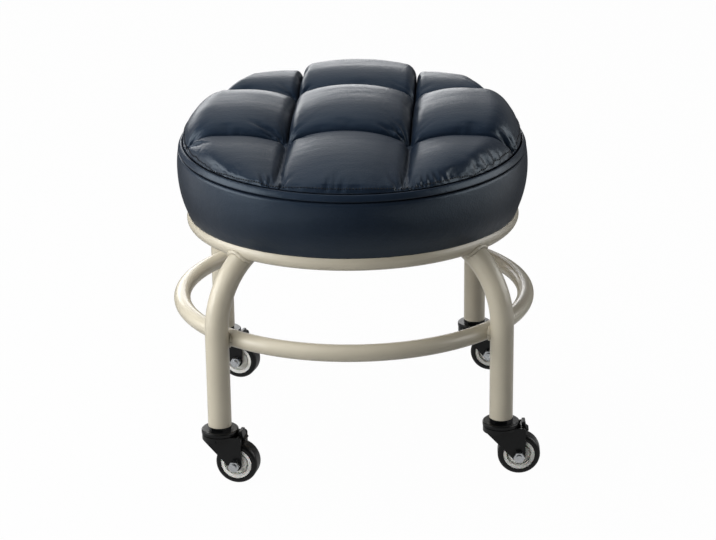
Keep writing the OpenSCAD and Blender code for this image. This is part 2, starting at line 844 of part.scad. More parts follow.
axle_nut(FRONT_RIGHT);  // front_right_axle_nut
axle_sleeve(FRONT_RIGHT);  // front_right_axle_sleeve
hub(FRONT_RIGHT);  // front_right_hub
tyre(FRONT_RIGHT);  // front_right_tyre
brake_lever(FRONT_RIGHT);  // front_right_brake_lever
brake_pin(FRONT_RIGHT);  // front_right_brake_pin
stem(REAR_LEFT);  // rear_left_stem
race(REAR_LEFT);  // rear_left_race
balls(REAR_LEFT);  // rear_left_balls
fork(REAR_LEFT);  // rear_left_fork
axle_bolt(REAR_LEFT);  // rear_left_axle_bolt
axle_nut(REAR_LEFT);  // rear_left_axle_nut
axle_sleeve(REAR_LEFT);  // rear_left_axle_sleeve
hub(REAR_LEFT);  // rear_left_hub
tyre(REAR_LEFT);  // rear_left_tyre
brake_lever(REAR_LEFT);  // rear_left_brake_lever
brake_pin(REAR_LEFT);  // rear_left_brake_pin
stem(REAR_RIGHT);  // rear_right_stem
race(REAR_RIGHT);  // rear_right_race
balls(REAR_RIGHT);  // rear_right_balls
fork(REAR_RIGHT);  // rear_right_fork
axle_bolt(REAR_RIGHT);  // rear_right_axle_bolt
axle_nut(REAR_RIGHT);  // rear_right_axle_nut
axle_sleeve(REAR_RIGHT);  // rear_right_axle_sleeve
hub(REAR_RIGHT);  // rear_right_hub
tyre(REAR_RIGHT);  // rear_right_tyre
brake_lever(REAR_RIGHT);  // rear_right_brake_lever
brake_pin(REAR_RIGHT);  // rear_right_brake_pin
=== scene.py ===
"""Rolling creeper seat: covers, stitching, weld beads, finishes and stage round the CAD model."""

import bisect
import json
import math
import random

import bpy
import numpy as np
from bpy.props import FloatProperty, FloatVectorProperty, IntProperty, PointerProperty
from mathutils import Matrix, Vector


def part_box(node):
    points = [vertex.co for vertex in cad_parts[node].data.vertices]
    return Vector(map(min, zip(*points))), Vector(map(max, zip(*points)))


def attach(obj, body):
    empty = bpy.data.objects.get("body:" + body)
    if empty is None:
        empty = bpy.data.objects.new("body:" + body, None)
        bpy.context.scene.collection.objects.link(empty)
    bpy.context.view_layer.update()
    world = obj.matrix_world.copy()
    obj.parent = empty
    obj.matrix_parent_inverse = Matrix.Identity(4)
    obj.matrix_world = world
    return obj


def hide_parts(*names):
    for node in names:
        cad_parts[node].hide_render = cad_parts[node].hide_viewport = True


bl_info = {
    "name": "Creeper seat",
    "version": (1, 0, 0),
    "blender": (4, 5, 0),
    "location": "3D View > Sidebar > Creeper seat",
    "description": "Builds the cushion, trim, finishes and stage of a rolling creeper seat",
    "category": "Object",
}

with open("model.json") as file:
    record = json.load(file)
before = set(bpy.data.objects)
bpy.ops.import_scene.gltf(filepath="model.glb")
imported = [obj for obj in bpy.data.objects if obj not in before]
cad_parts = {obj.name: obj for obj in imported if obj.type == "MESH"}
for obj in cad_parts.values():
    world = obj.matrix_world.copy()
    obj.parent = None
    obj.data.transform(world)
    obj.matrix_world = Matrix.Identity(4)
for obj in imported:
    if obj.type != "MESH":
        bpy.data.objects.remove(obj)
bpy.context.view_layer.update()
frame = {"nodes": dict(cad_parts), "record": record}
MM = 0.001


def linear(hex_code):
    """Turns an sRGB hex colour into linear red, green, blue and alpha."""
    parts = [int(hex_code[i : i + 2], 16) / 255 for i in (1, 3, 5)]
    straight = (p / 12.92 if p <= 0.04045 else ((p + 0.055) / 1.055) ** 2.4 for p in parts)
    return (*straight, 1.0)


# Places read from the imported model, in millimetres
RING_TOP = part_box("seat_ring")[1].z / MM
BOARD_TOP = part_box("seat_board")[1].z / MM
SIDE_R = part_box("side_band")[1].x / MM
CORNERS = ("front_left", "front_right", "rear_left", "rear_right")
CORNER_ANGLES = (225, 315, 135, 45)
# The legs' circle, tube and bend, how deep a leg is cut onto the ring, and the rings' tube
LEG_CIRCLE_R, LEG_R, LEG_BEND_R = 186.4, 11.0, 75.0
SADDLE_DEPTH = 10.8
TUBE_R = 8.0
SEAT_RING_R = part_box("seat_ring")[1].x / MM - TUBE_R
FOOT_RING_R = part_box("foot_ring")[1].x / MM - TUBE_R
SEAT_RING_Z = RING_TOP - TUBE_R
FOOT_RING_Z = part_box("foot_ring")[1].z / MM - TUBE_R
STRAP_W, STRAP_T = 30.0, 3.0

# Sizes of the sewn cover that the solids share, in millimetres
BAND_H = 52.1
STRIP_H = 8.4
SEAM_R = 161.4
SEAM_LEAN = 17.0
SIDE_DRAW = 8.9
BULGE_SHARE = 0.69
CELL_W = 115.0
QUILT_SHIFT = 11.5
QUILT_TURN = math.radians(-6)
COLUMN_LINES = (-CELL_W / 2, CELL_W / 2)
ROW_LINES = (QUILT_SHIFT - CELL_W / 2, QUILT_SHIFT + CELL_W / 2)


# What the lengths and the colours among the settings have in common
LENGTH = {"subtype": "DISTANCE", "unit": "LENGTH"}
COLOUR = {"subtype": "COLOR", "size": 4, "min": 0, "max": 1}


class CreeperSeatSettings(bpy.types.PropertyGroup):
    """Sizes and colours of the dressed stool."""

    puff_height: FloatProperty(
        name="Puff height", description="Rise of the middle puff above its channels",
        default=0.0346, min=0.01, max=0.05, **LENGTH,
    )
    channel_height: FloatProperty(
        name="Channel height", description="Rise of the sewn channels in the middle",
        default=0.004, min=0.0, max=0.015, **LENGTH,
    )
    air_pressure: FloatProperty(
        name="Filling pressure", description="Cloth pressure that swells the puffs",
        default=4.0, min=0.0, max=10.0,
    )
    swell_limit: FloatProperty(
        name="Swell limit", description="Furthest that the filling may push the cover out",
        default=0.009, min=0.0, max=0.02, **LENGTH,
    )
    stitch_pitch: FloatProperty(
        name="Stitch pitch", description="Length from one stitch to the next",
        default=0.0028, min=0.002, max=0.008, **LENGTH,
    )
    staple_count: IntProperty(
        name="Staples", description="Number of staples that hold the cover under the board",
        default=40, min=8, max=80,
    )
    leatherette_colour: FloatVectorProperty(
        name="Leatherette", description="Colour of the cushion cover", **COLOUR,
        default=linear("#131d2a"),
    )
    frame_colour: FloatVectorProperty(
        name="Frame coat", description="Colour of the powder-coated frame", **COLOUR,
        default=linear("#b8b19f"),
    )
    caster_colour: FloatVectorProperty(
        name="Caster coat", description="Colour of the coated caster steel", **COLOUR,
        default=linear("#0a0b0c"),
    )
    wheel_colour: FloatVectorProperty(
        name="Wheel centre", description="Colour of the moulded wheel centre", **COLOUR,
        default=linear("#e0e0db"),
    )
    bead_radius: FloatProperty(
        name="Weld bead", description="Radius of the weld beads where tubes meet",
        default=0.0019, min=0.0008, max=0.004, **LENGTH,
    )


def settings():
    """The scene's own sizes and colours."""
    return bpy.context.scene.creeper_seat


# Meshes


def new_piece(name, points, faces, slot, look=None, body="frame"):
    """Makes a mesh from points in millimetres, with its slot's finish or another, on a body."""
    mesh = bpy.data.meshes.new(name)
    mesh.from_pydata([tuple(float(c) * MM for c in p) for p in points], [], faces)
    mesh.validate()
    mesh.update()
    mesh.shade_smooth()
    mesh.materials.append(finish(look or slot))
    piece = bpy.data.objects.new(name, mesh)
    bpy.context.scene.collection.objects.link(piece)
    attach(piece, body)
    return piece


def strip_faces(rows, columns, close_rows=False, close_columns=False, first=0):
    """Quads between the points of a grid, wrapped round either way where asked."""
    faces = []
    for i in range(rows if close_rows else rows - 1):
        for j in range(columns if close_columns else columns - 1):
            a, b = i * columns + j, i * columns + (j + 1) % columns
            c, d = ((i + 1) % rows) * columns + (j + 1) % columns, ((i + 1) % rows) * columns + j
            faces.append((first + a, first + b, first + c, first + d))
    return faces


def lean(y, weight):
    """Lift of the leaning seams at y, from none at the ring to all at the seams."""
    return weight * SEAM_LEAN * (0.5 + y / (2 * SEAM_R))


def side_radius(share):
    """Radius of the plain side at a share of its height."""
    return SIDE_R - SIDE_DRAW * ((share - BULGE_SHARE) / BULGE_SHARE) ** 2


def turned_cover(outline, around, ripple=None):
    """Points and faces of an outline turned round the seat.

    Each point of the outline is its radius, height and lean weight.
    """
    points = []
    for i in range(around):
        angle = 2 * math.pi * i / around
        for radius, height, weight in outline:
            if ripple:
                radius += ripple(angle, height)
            x, y = radius * math.cos(angle), radius * math.sin(angle)
            points.append((x, y, RING_TOP + height + lean(y, weight)))
    return points, strip_faces(around, len(outline), close_rows=True)


# Materials


def add_node(owner, kind, inputs=(), **values):
    """Adds one node to a material or world, sets its values, and sets or links its inputs.

    Inputs are named in a dict or given in order, and a node among them stands for its first output.
    In order, a map range takes its value, where that starts and ends, and what it becomes there.
    """
    tree = owner.node_tree
    made = tree.nodes.new(kind)
    for name, value in values.items():
        setattr(made, name, value)
    for name, value in inputs.items() if isinstance(inputs, dict) else enumerate(inputs):
        if isinstance(value, bpy.types.Node):
            value = value.outputs[0]
        if isinstance(value, bpy.types.NodeSocket):
            tree.links.new(value, made.inputs[name])
        else:
            made.inputs[name].default_value = value
    return made


def per_mm(size_mm):
    """Texture scale at which one feature of the pattern is this many millimetres wide."""
    return 1000 / size_mm


# A coat's clouds: their detail and softness, the reach of the colours, and the spread of the gloss
CLOUD_DETAIL, CLOUD_SOFTNESS = 3.0, 0.55
CLOUD_DARK, CLOUD_LIGHT = 0.35, 0.65
CLOUD_LOW, CLOUD_HIGH = 0.3, 0.7
GLOSS_LOW, GLOSS_HIGH = 0.93, 1.07


def coated(name, colour, roughness, variation, bumps, **surface):
    """A principled material with a little colour variation and a stack of bump patterns.

    variation is (size in mm, share); bumps are (kind, size in mm, height in mm, softness), and
    "folds" are noise drawn out five times along X.
    """
    material = bpy.data.materials.new(name)
    material.use_nodes = True
    tree = material.node_tree
    shader = tree.nodes["Principled BSDF"]
    place = add_node(material, "ShaderNodeTexCoord").outputs["Object"]
    size, share = variation
    cloud = add_node(
        material, "ShaderNodeTexNoise",
        {"Vector": place, "Scale": per_mm(size),
         "Detail": CLOUD_DETAIL, "Roughness": CLOUD_SOFTNESS},
    )
    ramp = add_node(material, "ShaderNodeValToRGB", {"Fac": cloud})
    for stop, at, change in zip(
        ramp.color_ramp.elements, (CLOUD_DARK, CLOUD_LIGHT), (1 - share, 1 + share)
    ):
        stop.position, stop.color = at, [min(1.0, c * change) for c in colour[:3]] + [1.0]
    tree.links.new(ramp.outputs["Color"], shader.inputs["Base Color"])
    low, high = roughness * GLOSS_LOW, min(1.0, roughness * GLOSS_HIGH)
    gloss = add_node(material, "ShaderNodeMapRange", [cloud, CLOUD_LOW, CLOUD_HIGH, low, high])
    tree.links.new(gloss.outputs["Result"], shader.inputs["Roughness"])
    normal = None
    for kind, size, height, softness in bumps:
        if kind == "cells":
            pattern = add_node(
                material, "ShaderNodeTexVoronoi",
                {"Vector": place, "Scale": per_mm(size), "Smoothness": softness},
                feature="SMOOTH_F1",
            ).outputs["Distance"]
        else:
            spot = place
            if kind == "folds":
                spot = add_node(
                    material, "ShaderNodeMapping", {"Vector": place, "Scale": (0.2, 1.0, 1.0)}
                ).outputs[0]
            pattern = add_node(
                material, "ShaderNodeTexNoise",
                {"Vector": spot, "Scale": per_mm(size), "Detail": 2.0, "Roughness": softness},
            ).outputs["Fac"]
        inputs = {"Height": pattern, "Strength": 1.0, "Distance": height * MM}
        if normal:
            inputs["Normal"] = normal
        normal = add_node(material, "ShaderNodeBump", inputs).outputs["Normal"]
    if normal:
        tree.links.new(normal, shader.inputs["Normal"])
    for socket, value in surface.items():
        shader.inputs[socket.replace("_", " ")].default_value = value
    return material


FINISHES = {}


def finish(name):
    """The finish of that name, made when it is first asked for."""
    if name not in FINISHES:
        FINISHES[name] = make_finish(name)
    return FINISHES[name]


def make_finish(name):
    """Makes one finish from what the real surface is and how it was made."""
    look = settings()
    if name == "leatherette":
        # PVC leathercloth with an embossed grain: a satin gloss with broad, cool highlights.
        # The real grain is about 0.6 mm; it is drawn at 1.6 mm, or it wouldn't show. The other
        # two patterns are the slack of the cloth over the foam.
        return coated(
            "embossed_pvc_leathercloth", look.leatherette_colour, 0.34, (46, 0.06),
            [("cells", 1.6, 0.10, 0.6), ("noise", 9, 0.15, 0.5), ("folds", 10, 0.3, 0.45)],
            Specular_IOR_Level=0.42, Specular_Tint=(0.76, 0.9, 1, 1),
            Sheen_Weight=0.02, Sheen_Roughness=0.5,
        )
    if name == "thread":
        # Bonded nylon thread, twisted: darker than the cover and dull.
        return coated(
            "bonded_nylon_thread", linear("#07090c"), 0.6, (2, 0.2), [("noise", 0.6, 0.05, 0.5)]
        )
    if name == "foam":
        # Cut open-cell polyurethane foam: dry, pale and full of pores about 1 mm wide.
        return coated(
            "cut_polyurethane_foam", linear("#e6d9a8"), 0.95, (20, 0.05),
            [("cells", 1.1, 0.4, 0.3)], Specular_IOR_Level=0.2,
        )
    if name == "frame_paint":
        # Satin powder coat on steel tube: an even colour with a faint orange peel, 2 mm wide.
        return coated(
            "satin_powder_coat", look.frame_colour, 0.34, (30, 0.025),
            [("noise", 2.2, 0.012, 0.5)], Coat_Weight=0.35, Coat_Roughness=0.2,
        )
    if name == "black_steel":
        # Black electrocoat on pressed steel: thin, even and half glossy.
        return coated(
            "black_electrocoat", look.caster_colour, 0.30, (8, 0.10), [("noise", 1.2, 0.012, 0.5)],
            Specular_IOR_Level=0.28, Coat_Weight=0.08, Coat_Roughness=0.12,
        )
    if name == "zinc_steel":
        # Bright zinc plating on turned and forged steel: a cool metal with cloudy gloss.
        return coated(
            "bright_zinc_plate", linear("#d6d9dc"), 0.27, (3, 0.10), [("noise", 0.8, 0.015, 0.5)],
            Metallic=1.0,
        )
    if name == "bearing_steel":
        # Ground and polished ball steel: nearly a mirror.
        return coated("polished_ball_steel", linear("#d2d4d6"), 0.08, (2, 0.02), [], Metallic=1.0)
    if name == "wheel_centre":
        # Injection-moulded polyamide, spark-eroded satin: pale, with soft highlights.
        return coated(
            "moulded_polyamide", look.wheel_colour, 0.42, (6, 0.03), [("noise", 0.7, 0.01, 0.5)],
            Subsurface_Weight=0.04, Subsurface_Scale=0.002,
        )
    if name == "tyre":
        # Cast polyurethane tread: deep black, smooth, a little waxy.
        return coated(
            "cast_polyurethane_tread", linear("#08090a"), 0.34, (7, 0.15),
            [("noise", 1.5, 0.02, 0.5)], Specular_IOR_Level=0.35,
        )
    # Rotary-cut birch plywood, sanded: pale and straight in grain.
    return coated(
        "sanded_birch_plywood", linear("#c39a66"), 0.62, (14, 0.10), [("noise", 3, 0.05, 0.7)]
    )


# Quilted top

# Grid steps across one cell, and how many times finer the finished grid is
PANEL_STEPS, FINER = 30, 3
# Edge of a puff at a channel, in millimetres: a wall beside the stitching, the share of it climbed
# at each line, and then a round shoulder
WALL_LINES = (0.0, 0.25, 0.45, 0.6)
WALL_CLIMB = (0.0, 0.4, 0.75, 1.0)
# Grid lines beside the round seam, in millimetres
RIM_LINES = (0.0, 0.5, 1.0, 1.6, 2.4, 3.6, 5.4)
SHOULDER_R = 10.0
SHOULDER_LINES = 5
EDGE_CELL_W = 100.0
# Column and row of each of the nine cells
CELLS = tuple((a, b) for a in range(3) for b in range(3))


def cell_lines(steps, low_sewn, high_sewn, length):
    """Shares across one cell at which its grid lines lie, crowded towards its edges."""
    edge = list(WALL_LINES)
    edge += [
        WALL_LINES[-1] + SHOULDER_R * (1 - math.cos(math.pi / 2 * k / SHOULDER_LINES))
        for k in range(1, SHOULDER_LINES + 1)
    ]
    low = [d / length for d in (edge if low_sewn else RIM_LINES)]
    high = [1 - d / length for d in reversed(edge if high_sewn else RIM_LINES)]
    between = steps + 1 - len(low) - len(high)
    inner = [low[-1] + (high[0] - low[-1]) * (k + 1) / (between + 1) for k in range(between)]
    return np.array(low + inner + high)


def share_line(k, steps, factor):
    """Shares across cell k at which the lines of the finer grid lie."""
    lines = cell_lines(steps, k > 0, k < 2, CELL_W if k == 1 else EDGE_CELL_W)
    return np.interp(np.arange(steps * factor + 1) / factor, np.arange(steps + 1), lines)


def panel_plan(steps):
    """Places of the panel's grid in plan, in the quilting's axes, with their cells and shares."""
    count = 3 * steps + 1
    cell = np.minimum(np.arange(count) // steps, 2)
    share = np.zeros(count)
    for k, sewn in enumerate(((False, True), (True, True), (True, False))):
        length = CELL_W if k == 1 else EDGE_CELL_W
        share[k * steps : (k + 1) * steps + 1] = cell_lines(steps, *sewn, length)
        if k < 2:
            share[(k + 1) * steps] = 0.0
    column, s = cell[:, None] + 0 * cell[None, :], share[:, None] + 0 * share[None, :]
    row, t = cell[None, :] + 0 * cell[:, None], share[None, :] + 0 * share[:, None]
    place = np.zeros((count, count, 2))

    def rim(v):
        return np.sqrt(SEAM_R**2 - v**2)

    def mix(a, b, part):
        return a + (b - a) * part

    middle_x = mix(COLUMN_LINES[0], COLUMN_LINES[1], s)
    middle_y = mix(ROW_LINES[0], ROW_LINES[1], t)
    for a, b in CELLS:
        here = (column == a) & (row == b)
        side_x, side_y = (-1 if a == 0 else 1), (-1 if b == 0 else 1)
        c = side_x * COLUMN_LINES[0 if a == 0 else 1]
        d = side_y * ROW_LINES[0 if b == 0 else 1]
        out_s, out_t = (1 - s if a == 0 else s)[here], (1 - t if b == 0 else t)[here]
        x, y = middle_x[here], middle_y[here]
        if a != 1 and b == 1:
            x = mix(side_x * c, side_x * rim(y), out_s)
        elif a == 1 and b != 1:
            y = mix(side_y * d, side_y * rim(x), out_t)
        elif a != 1:
            x, y = corner_patch(c, d, out_s, out_t, rim, mix)
            x, y = side_x * x, side_y * y
        place[here] = np.stack([x, y], -1)
    return place, column, row, s, t


def corner_patch(c, d, s, t, rim, mix):
    """A corner cell in its own quarter, from the channel crossing (c, d) out to the round seam."""
    row_end, column_end = math.atan2(d, rim(d)), math.atan2(rim(c), c)
    middle = (row_end + column_end) / 2
    up_right, along_top = mix(row_end, middle, t), mix(column_end, middle, s)
    right = SEAM_R * np.stack([np.cos(up_right), np.sin(up_right)])
    top = SEAM_R * np.stack([np.cos(along_top), np.sin(along_top)])
    bottom = np.stack([mix(c, rim(d), s), d + 0 * s])
    left = np.stack([c + 0 * t, mix(d, rim(c), t)])
    corner = SEAM_R * np.array([[math.cos(middle)], [math.sin(middle)]])
    blend = (
        (1 - s) * (1 - t) * np.array([[c], [d]]) + s * (1 - t) * np.array([[rim(d)], [d]])
        + (1 - s) * t * np.array([[c], [rim(c)]]) + s * t * corner
    )
    return (1 - t) * bottom + t * top + (1 - s) * left + s * right - blend


# Height of each puff as a share of the middle one: front, middle and rear rows
PUFF_SHARES = np.array([[0.44, 0.60, 0.53], [0.85, 1.0, 0.98], [0.74, 0.98, 0.74]])
# How far a puff sinks at its sides: the outer puffs and the middle one, from the front row back
SIDE_FALLS = ((0.66, 0.67), (0.45, 0.37), (0.10, 0.15))
# Length and depth of a puff's shoulder: steep at its sides and back, long and easy at its front
SIDE_SHOULDER = (10.0, 10.0)
FRONT_SHOULDER = (46.0, 13.0)
REAR_SHOULDER = (11.0, 9.0)
# Where the side puffs peak, counted from the seam, and where each row does, with its falls
SIDE_PEAK = 0.46
ROW_BOWS = ((0.82, 0.0, 0.20), (0.66, 0.12, 0.35), (0.55, 0.16, 0.0))
# Share of a puff over which it rises from the round seam
SIDE_ROLL, FRONT_ROLL, REAR_ROLL = 0.30, 0.68, 0.29
# Steepness of an arch's fall and of the rise from the seam
FALL_POWER, ROLL_POWER = 2.2, 0.7
# How far the stitching pulls the panel's edge down, and over what width, in millimetres
SEAM_DIP, SEAM_DIP_W = 1.8, 0.9
# Least rise of a puff over its channels
LEAST_RISE = 0.5


def bow(share, peak, low_fall, high_fall):
    """Gentle arch of a puff: 1 at its peak, falling by low_fall and high_fall at its two edges."""
    low = low_fall * np.clip((peak - share) / peak, 0, 1) ** FALL_POWER
    high = high_fall * np.clip((share - peak) / (1 - peak), 0, 1) ** FALL_POWER
    return 1 - low - high


def roll(share, length):
    """Rise of a puff from the round seam, where share is counted from the seam."""
    return (1 - (1 - np.clip(share / length, 0, 1)) ** FALL_POWER) ** ROLL_POWER


def sewn_edge(distance, length, depth):
    """Drop of the shoulder and share of the wall climbed, at a distance from a channel."""
    away = np.clip((distance - WALL_LINES[-1]) / length, 0, 1)
    drop = depth * (1 - np.sqrt(1 - (1 - away) ** 2))
    return drop, np.interp(distance, WALL_LINES, WALL_CLIMB)


def puff_rise(column, row, s, t, full_height):
    """Rise of the cover over its channels in millimetres."""
    outer, middle = (np.choose(row, falls) for falls in zip(*SIDE_FALLS))
    across = np.choose(column, [
        bow(s, SIDE_PEAK, 0.0, outer) * roll(s, SIDE_ROLL),
        bow(s, 0.5, middle, middle),
        bow(s, 1 - SIDE_PEAK, outer, 0.0) * roll(1 - s, SIDE_ROLL),
    ])
    along = np.choose(row, [
        bow(t, *ROW_BOWS[0]) * roll(t, FRONT_ROLL),
        bow(t, *ROW_BOWS[1]),
        bow(t, *ROW_BOWS[2]) * roll(1 - t, REAR_ROLL),
    ])
    rise = full_height * PUFF_SHARES[row, column] * across * along
    climbed = np.ones_like(s)
    for cell, share, low, high in (
        (column, s, SIDE_SHOULDER, SIDE_SHOULDER), (row, t, FRONT_SHOULDER, REAR_SHOULDER)
    ):
        length = np.where(cell == 1, CELL_W, EDGE_CELL_W)
        for sewn, away, form in ((cell > 0, share, low), (cell < 2, 1 - share, high)):
            drop, wall = sewn_edge(away * length, *form)
            rise = rise - np.where(sewn, drop, 0)
            climbed = climbed * np.where(sewn, wall, 1)
    # The channel lines themselves belong to the next cell, where their share is 0
    return np.maximum(rise, LEAST_RISE) * climbed


def turned(place, angle):
    """Places in plan turned about the middle of the seat."""
    c, s = math.cos(angle), math.sin(angle)
    x, y = place[..., 0], place[..., 1]
    return np.stack([x * c - y * s, x * s + y * c], -1)


def panel_points(steps, fullness):
    """The panel as a grid of points in millimetres, with each point's cell."""
    look = settings()
    plan, column, row, s, t = panel_plan(steps)
    radius = np.hypot(plan[..., 0], plan[..., 1]) / SEAM_R
    height = look.channel_height / MM * (1 - np.clip(radius, 0, 1) ** 2)
    height = height + puff_rise(column, row, s, t, fullness * look.puff_height / MM)
    xy = turned(plan, QUILT_TURN)
    seam = RING_TOP + BAND_H + STRIP_H + lean(xy[..., 1], 1)
    return np.concatenate([xy, (seam + height)[..., None]], -1), column, row


def rim_loop(count):
    """Grid places of the panel's outer edge, in order round the seam."""
    last = count - 1
    return (
        [(i, 0) for i in range(last)] + [(last, j) for j in range(last)]
        + [(i, last) for i in range(last, 0, -1)] + [(0, j) for j in range(last, 0, -1)]
    )


# How far below the seam the bag closes, in millimetres, and the frames that the filling runs
BAG_DEPTH, CLOTH_FRAMES = 3.0, 20
# Weight, stiffness and give of the cover while it swells
CLOTH = {
    "quality": 6, "mass": 0.25, "tension_stiffness": 40, "compression_stiffness": 40,
    "shear_stiffness": 20, "bending_stiffness": 6.0, "shrink_min": -0.007, "use_pressure": True,
}
# Share of the swelling left in the middle, and how far in from the seam it falls to that
FIRM_SHARE, GATHER_REACH = 0.3, 22


def swell(points, steps):
    """Fills the sewn panel as cloth: channels and seam are held, and pressure lifts the rest."""
    look = settings()
    count = points.shape[0]
    rim = rim_loop(count)
    base = [points[i, j] - np.array([0, 0, BAG_DEPTH]) for i, j in rim]
    middle = np.mean(base, axis=0)
    vertices = [tuple(p * MM) for p in points.reshape(-1, 3)] + [tuple(p * MM) for p in base]
    vertices.append(tuple(middle * MM))
    faces = [f[::-1] for f in strip_faces(count, count)]
    first, hub = count * count, count * count + len(rim)
    for k in range(len(rim)):
        n = (k + 1) % len(rim)
        a, b = rim[k][0] * count + rim[k][1], rim[n][0] * count + rim[n][1]
        faces += [(a, b, first + n, first + k)[::-1], (hub, first + k, first + n)]
    mesh = bpy.data.meshes.new("filling")
    mesh.from_pydata(vertices, [], faces)
    bag = bpy.data.objects.new("filling", mesh)
    scene = bpy.context.scene
    scene.collection.objects.link(bag)
    held = bag.vertex_groups.new(name="sewn")
    sewn = [k for k in range(first) if 0 in (k // count % steps, k % count % steps)]
    held.add(sewn + list(range(first, hub + 1)), 1.0, "REPLACE")
    cloth = bag.modifiers.new("filling", "CLOTH")
    for name, value in CLOTH.items():
        setattr(cloth.settings, name, value)
    cloth.settings.uniform_pressure_force = look.air_pressure
    cloth.settings.effector_weights.gravity = 0
    cloth.settings.vertex_group_mass = "sewn"
    cloth.collision_settings.use_collision = False
    for step in range(1, CLOTH_FRAMES + 1):
        scene.frame_set(step)
    depth = bpy.context.evaluated_depsgraph_get()
    done = bag.evaluated_get(depth).to_mesh()
    moved = np.array([v.co for v in done.vertices][: count * count]).reshape(count, count, 3) / MM
    scene.frame_set(1)
    bpy.data.objects.remove(bag)
    # The filling is firm in the middle, so the cover gathers most beside the round seam
    inward = SEAM_R - np.hypot(points[..., 0], points[..., 1])
    gathered = FIRM_SHARE + (1 - FIRM_SHARE) * np.exp(-inward / GATHER_REACH)
    travel = (moved - points) * gathered[..., None]
    far = np.linalg.norm(travel, axis=-1, keepdims=True)
    limit = look.swell_limit / MM
    return points + travel * np.minimum(1, limit / np.maximum(far, 1e-9))


# How far a puff stays from the plane of its channel, and a place beyond the whole seat
CHANNEL_GAP, BEYOND = 0.3, 1e3


def keep_in_cells(points, column, row):
    """Stops each puff at the plane of its channel, where it meets its neighbour."""
    plan = turned(points[..., :2], -QUILT_TURN)
    for axis, cell, lines in ((0, column, COLUMN_LINES), (1, row, ROW_LINES)):
        low = np.choose(cell, [-BEYOND, *(line + CHANNEL_GAP for line in lines)])
        high = np.choose(cell, [*(line - CHANNEL_GAP for line in lines), BEYOND])
        plan[..., axis] = np.clip(plan[..., axis], low, high)
    return np.concatenate([turned(plan, QUILT_TURN), points[..., 2:]], -1)


def cell_patch(a, b, steps):
    """The part of a grid that is one cell, with its edges."""
    return slice(a * steps, (a + 1) * steps + 1), slice(b * steps, (b + 1) * steps + 1)


def finer(values, steps, factor):
    """A finer grid through the same points, smooth inside each cell and creased on the channels."""
    rows = []
    for i in range(steps * factor + 1):
        at = i / factor
        k = min(int(at), steps - 1)
        f = at - k
        weights = (
            (-f + 2 * f**2 - f**3) / 2, (2 - 5 * f**2 + 3 * f**3) / 2,
            (f + 4 * f**2 - 3 * f**3) / 2, (-(f**2) + f**3) / 2,
        )
        row = np.zeros(steps + 1)
        for offset, weight in zip((-1, 0, 1, 2), weights):
            place = k + offset
            if place < 0:
                row[0] += 2 * weight
                row[1] -= weight
            elif place > steps:
                row[steps] += 2 * weight
                row[steps - 1] -= weight
            else:
                row[place] += weight
        rows.append(row)
    weave = np.array(rows)
    fine = steps * factor
    out = np.zeros((3 * fine + 1, 3 * fine + 1, values.shape[-1]))
    for cell in CELLS:
        patch = values[cell_patch(*cell, steps)]
        out[cell_patch(*cell, fine)] = np.einsum("ip,pqc,jq->ijc", weave, patch, weave)
    return out


def grid_normals(points):
    """Outward normals of a grid of points."""
    along = np.gradient(points, axis=0)
    across = np.gradient(points, axis=1)
    normal = np.cross(along, across)
    return normal / np.maximum(np.linalg.norm(normal, axis=-1, keepdims=True), 1e-9)


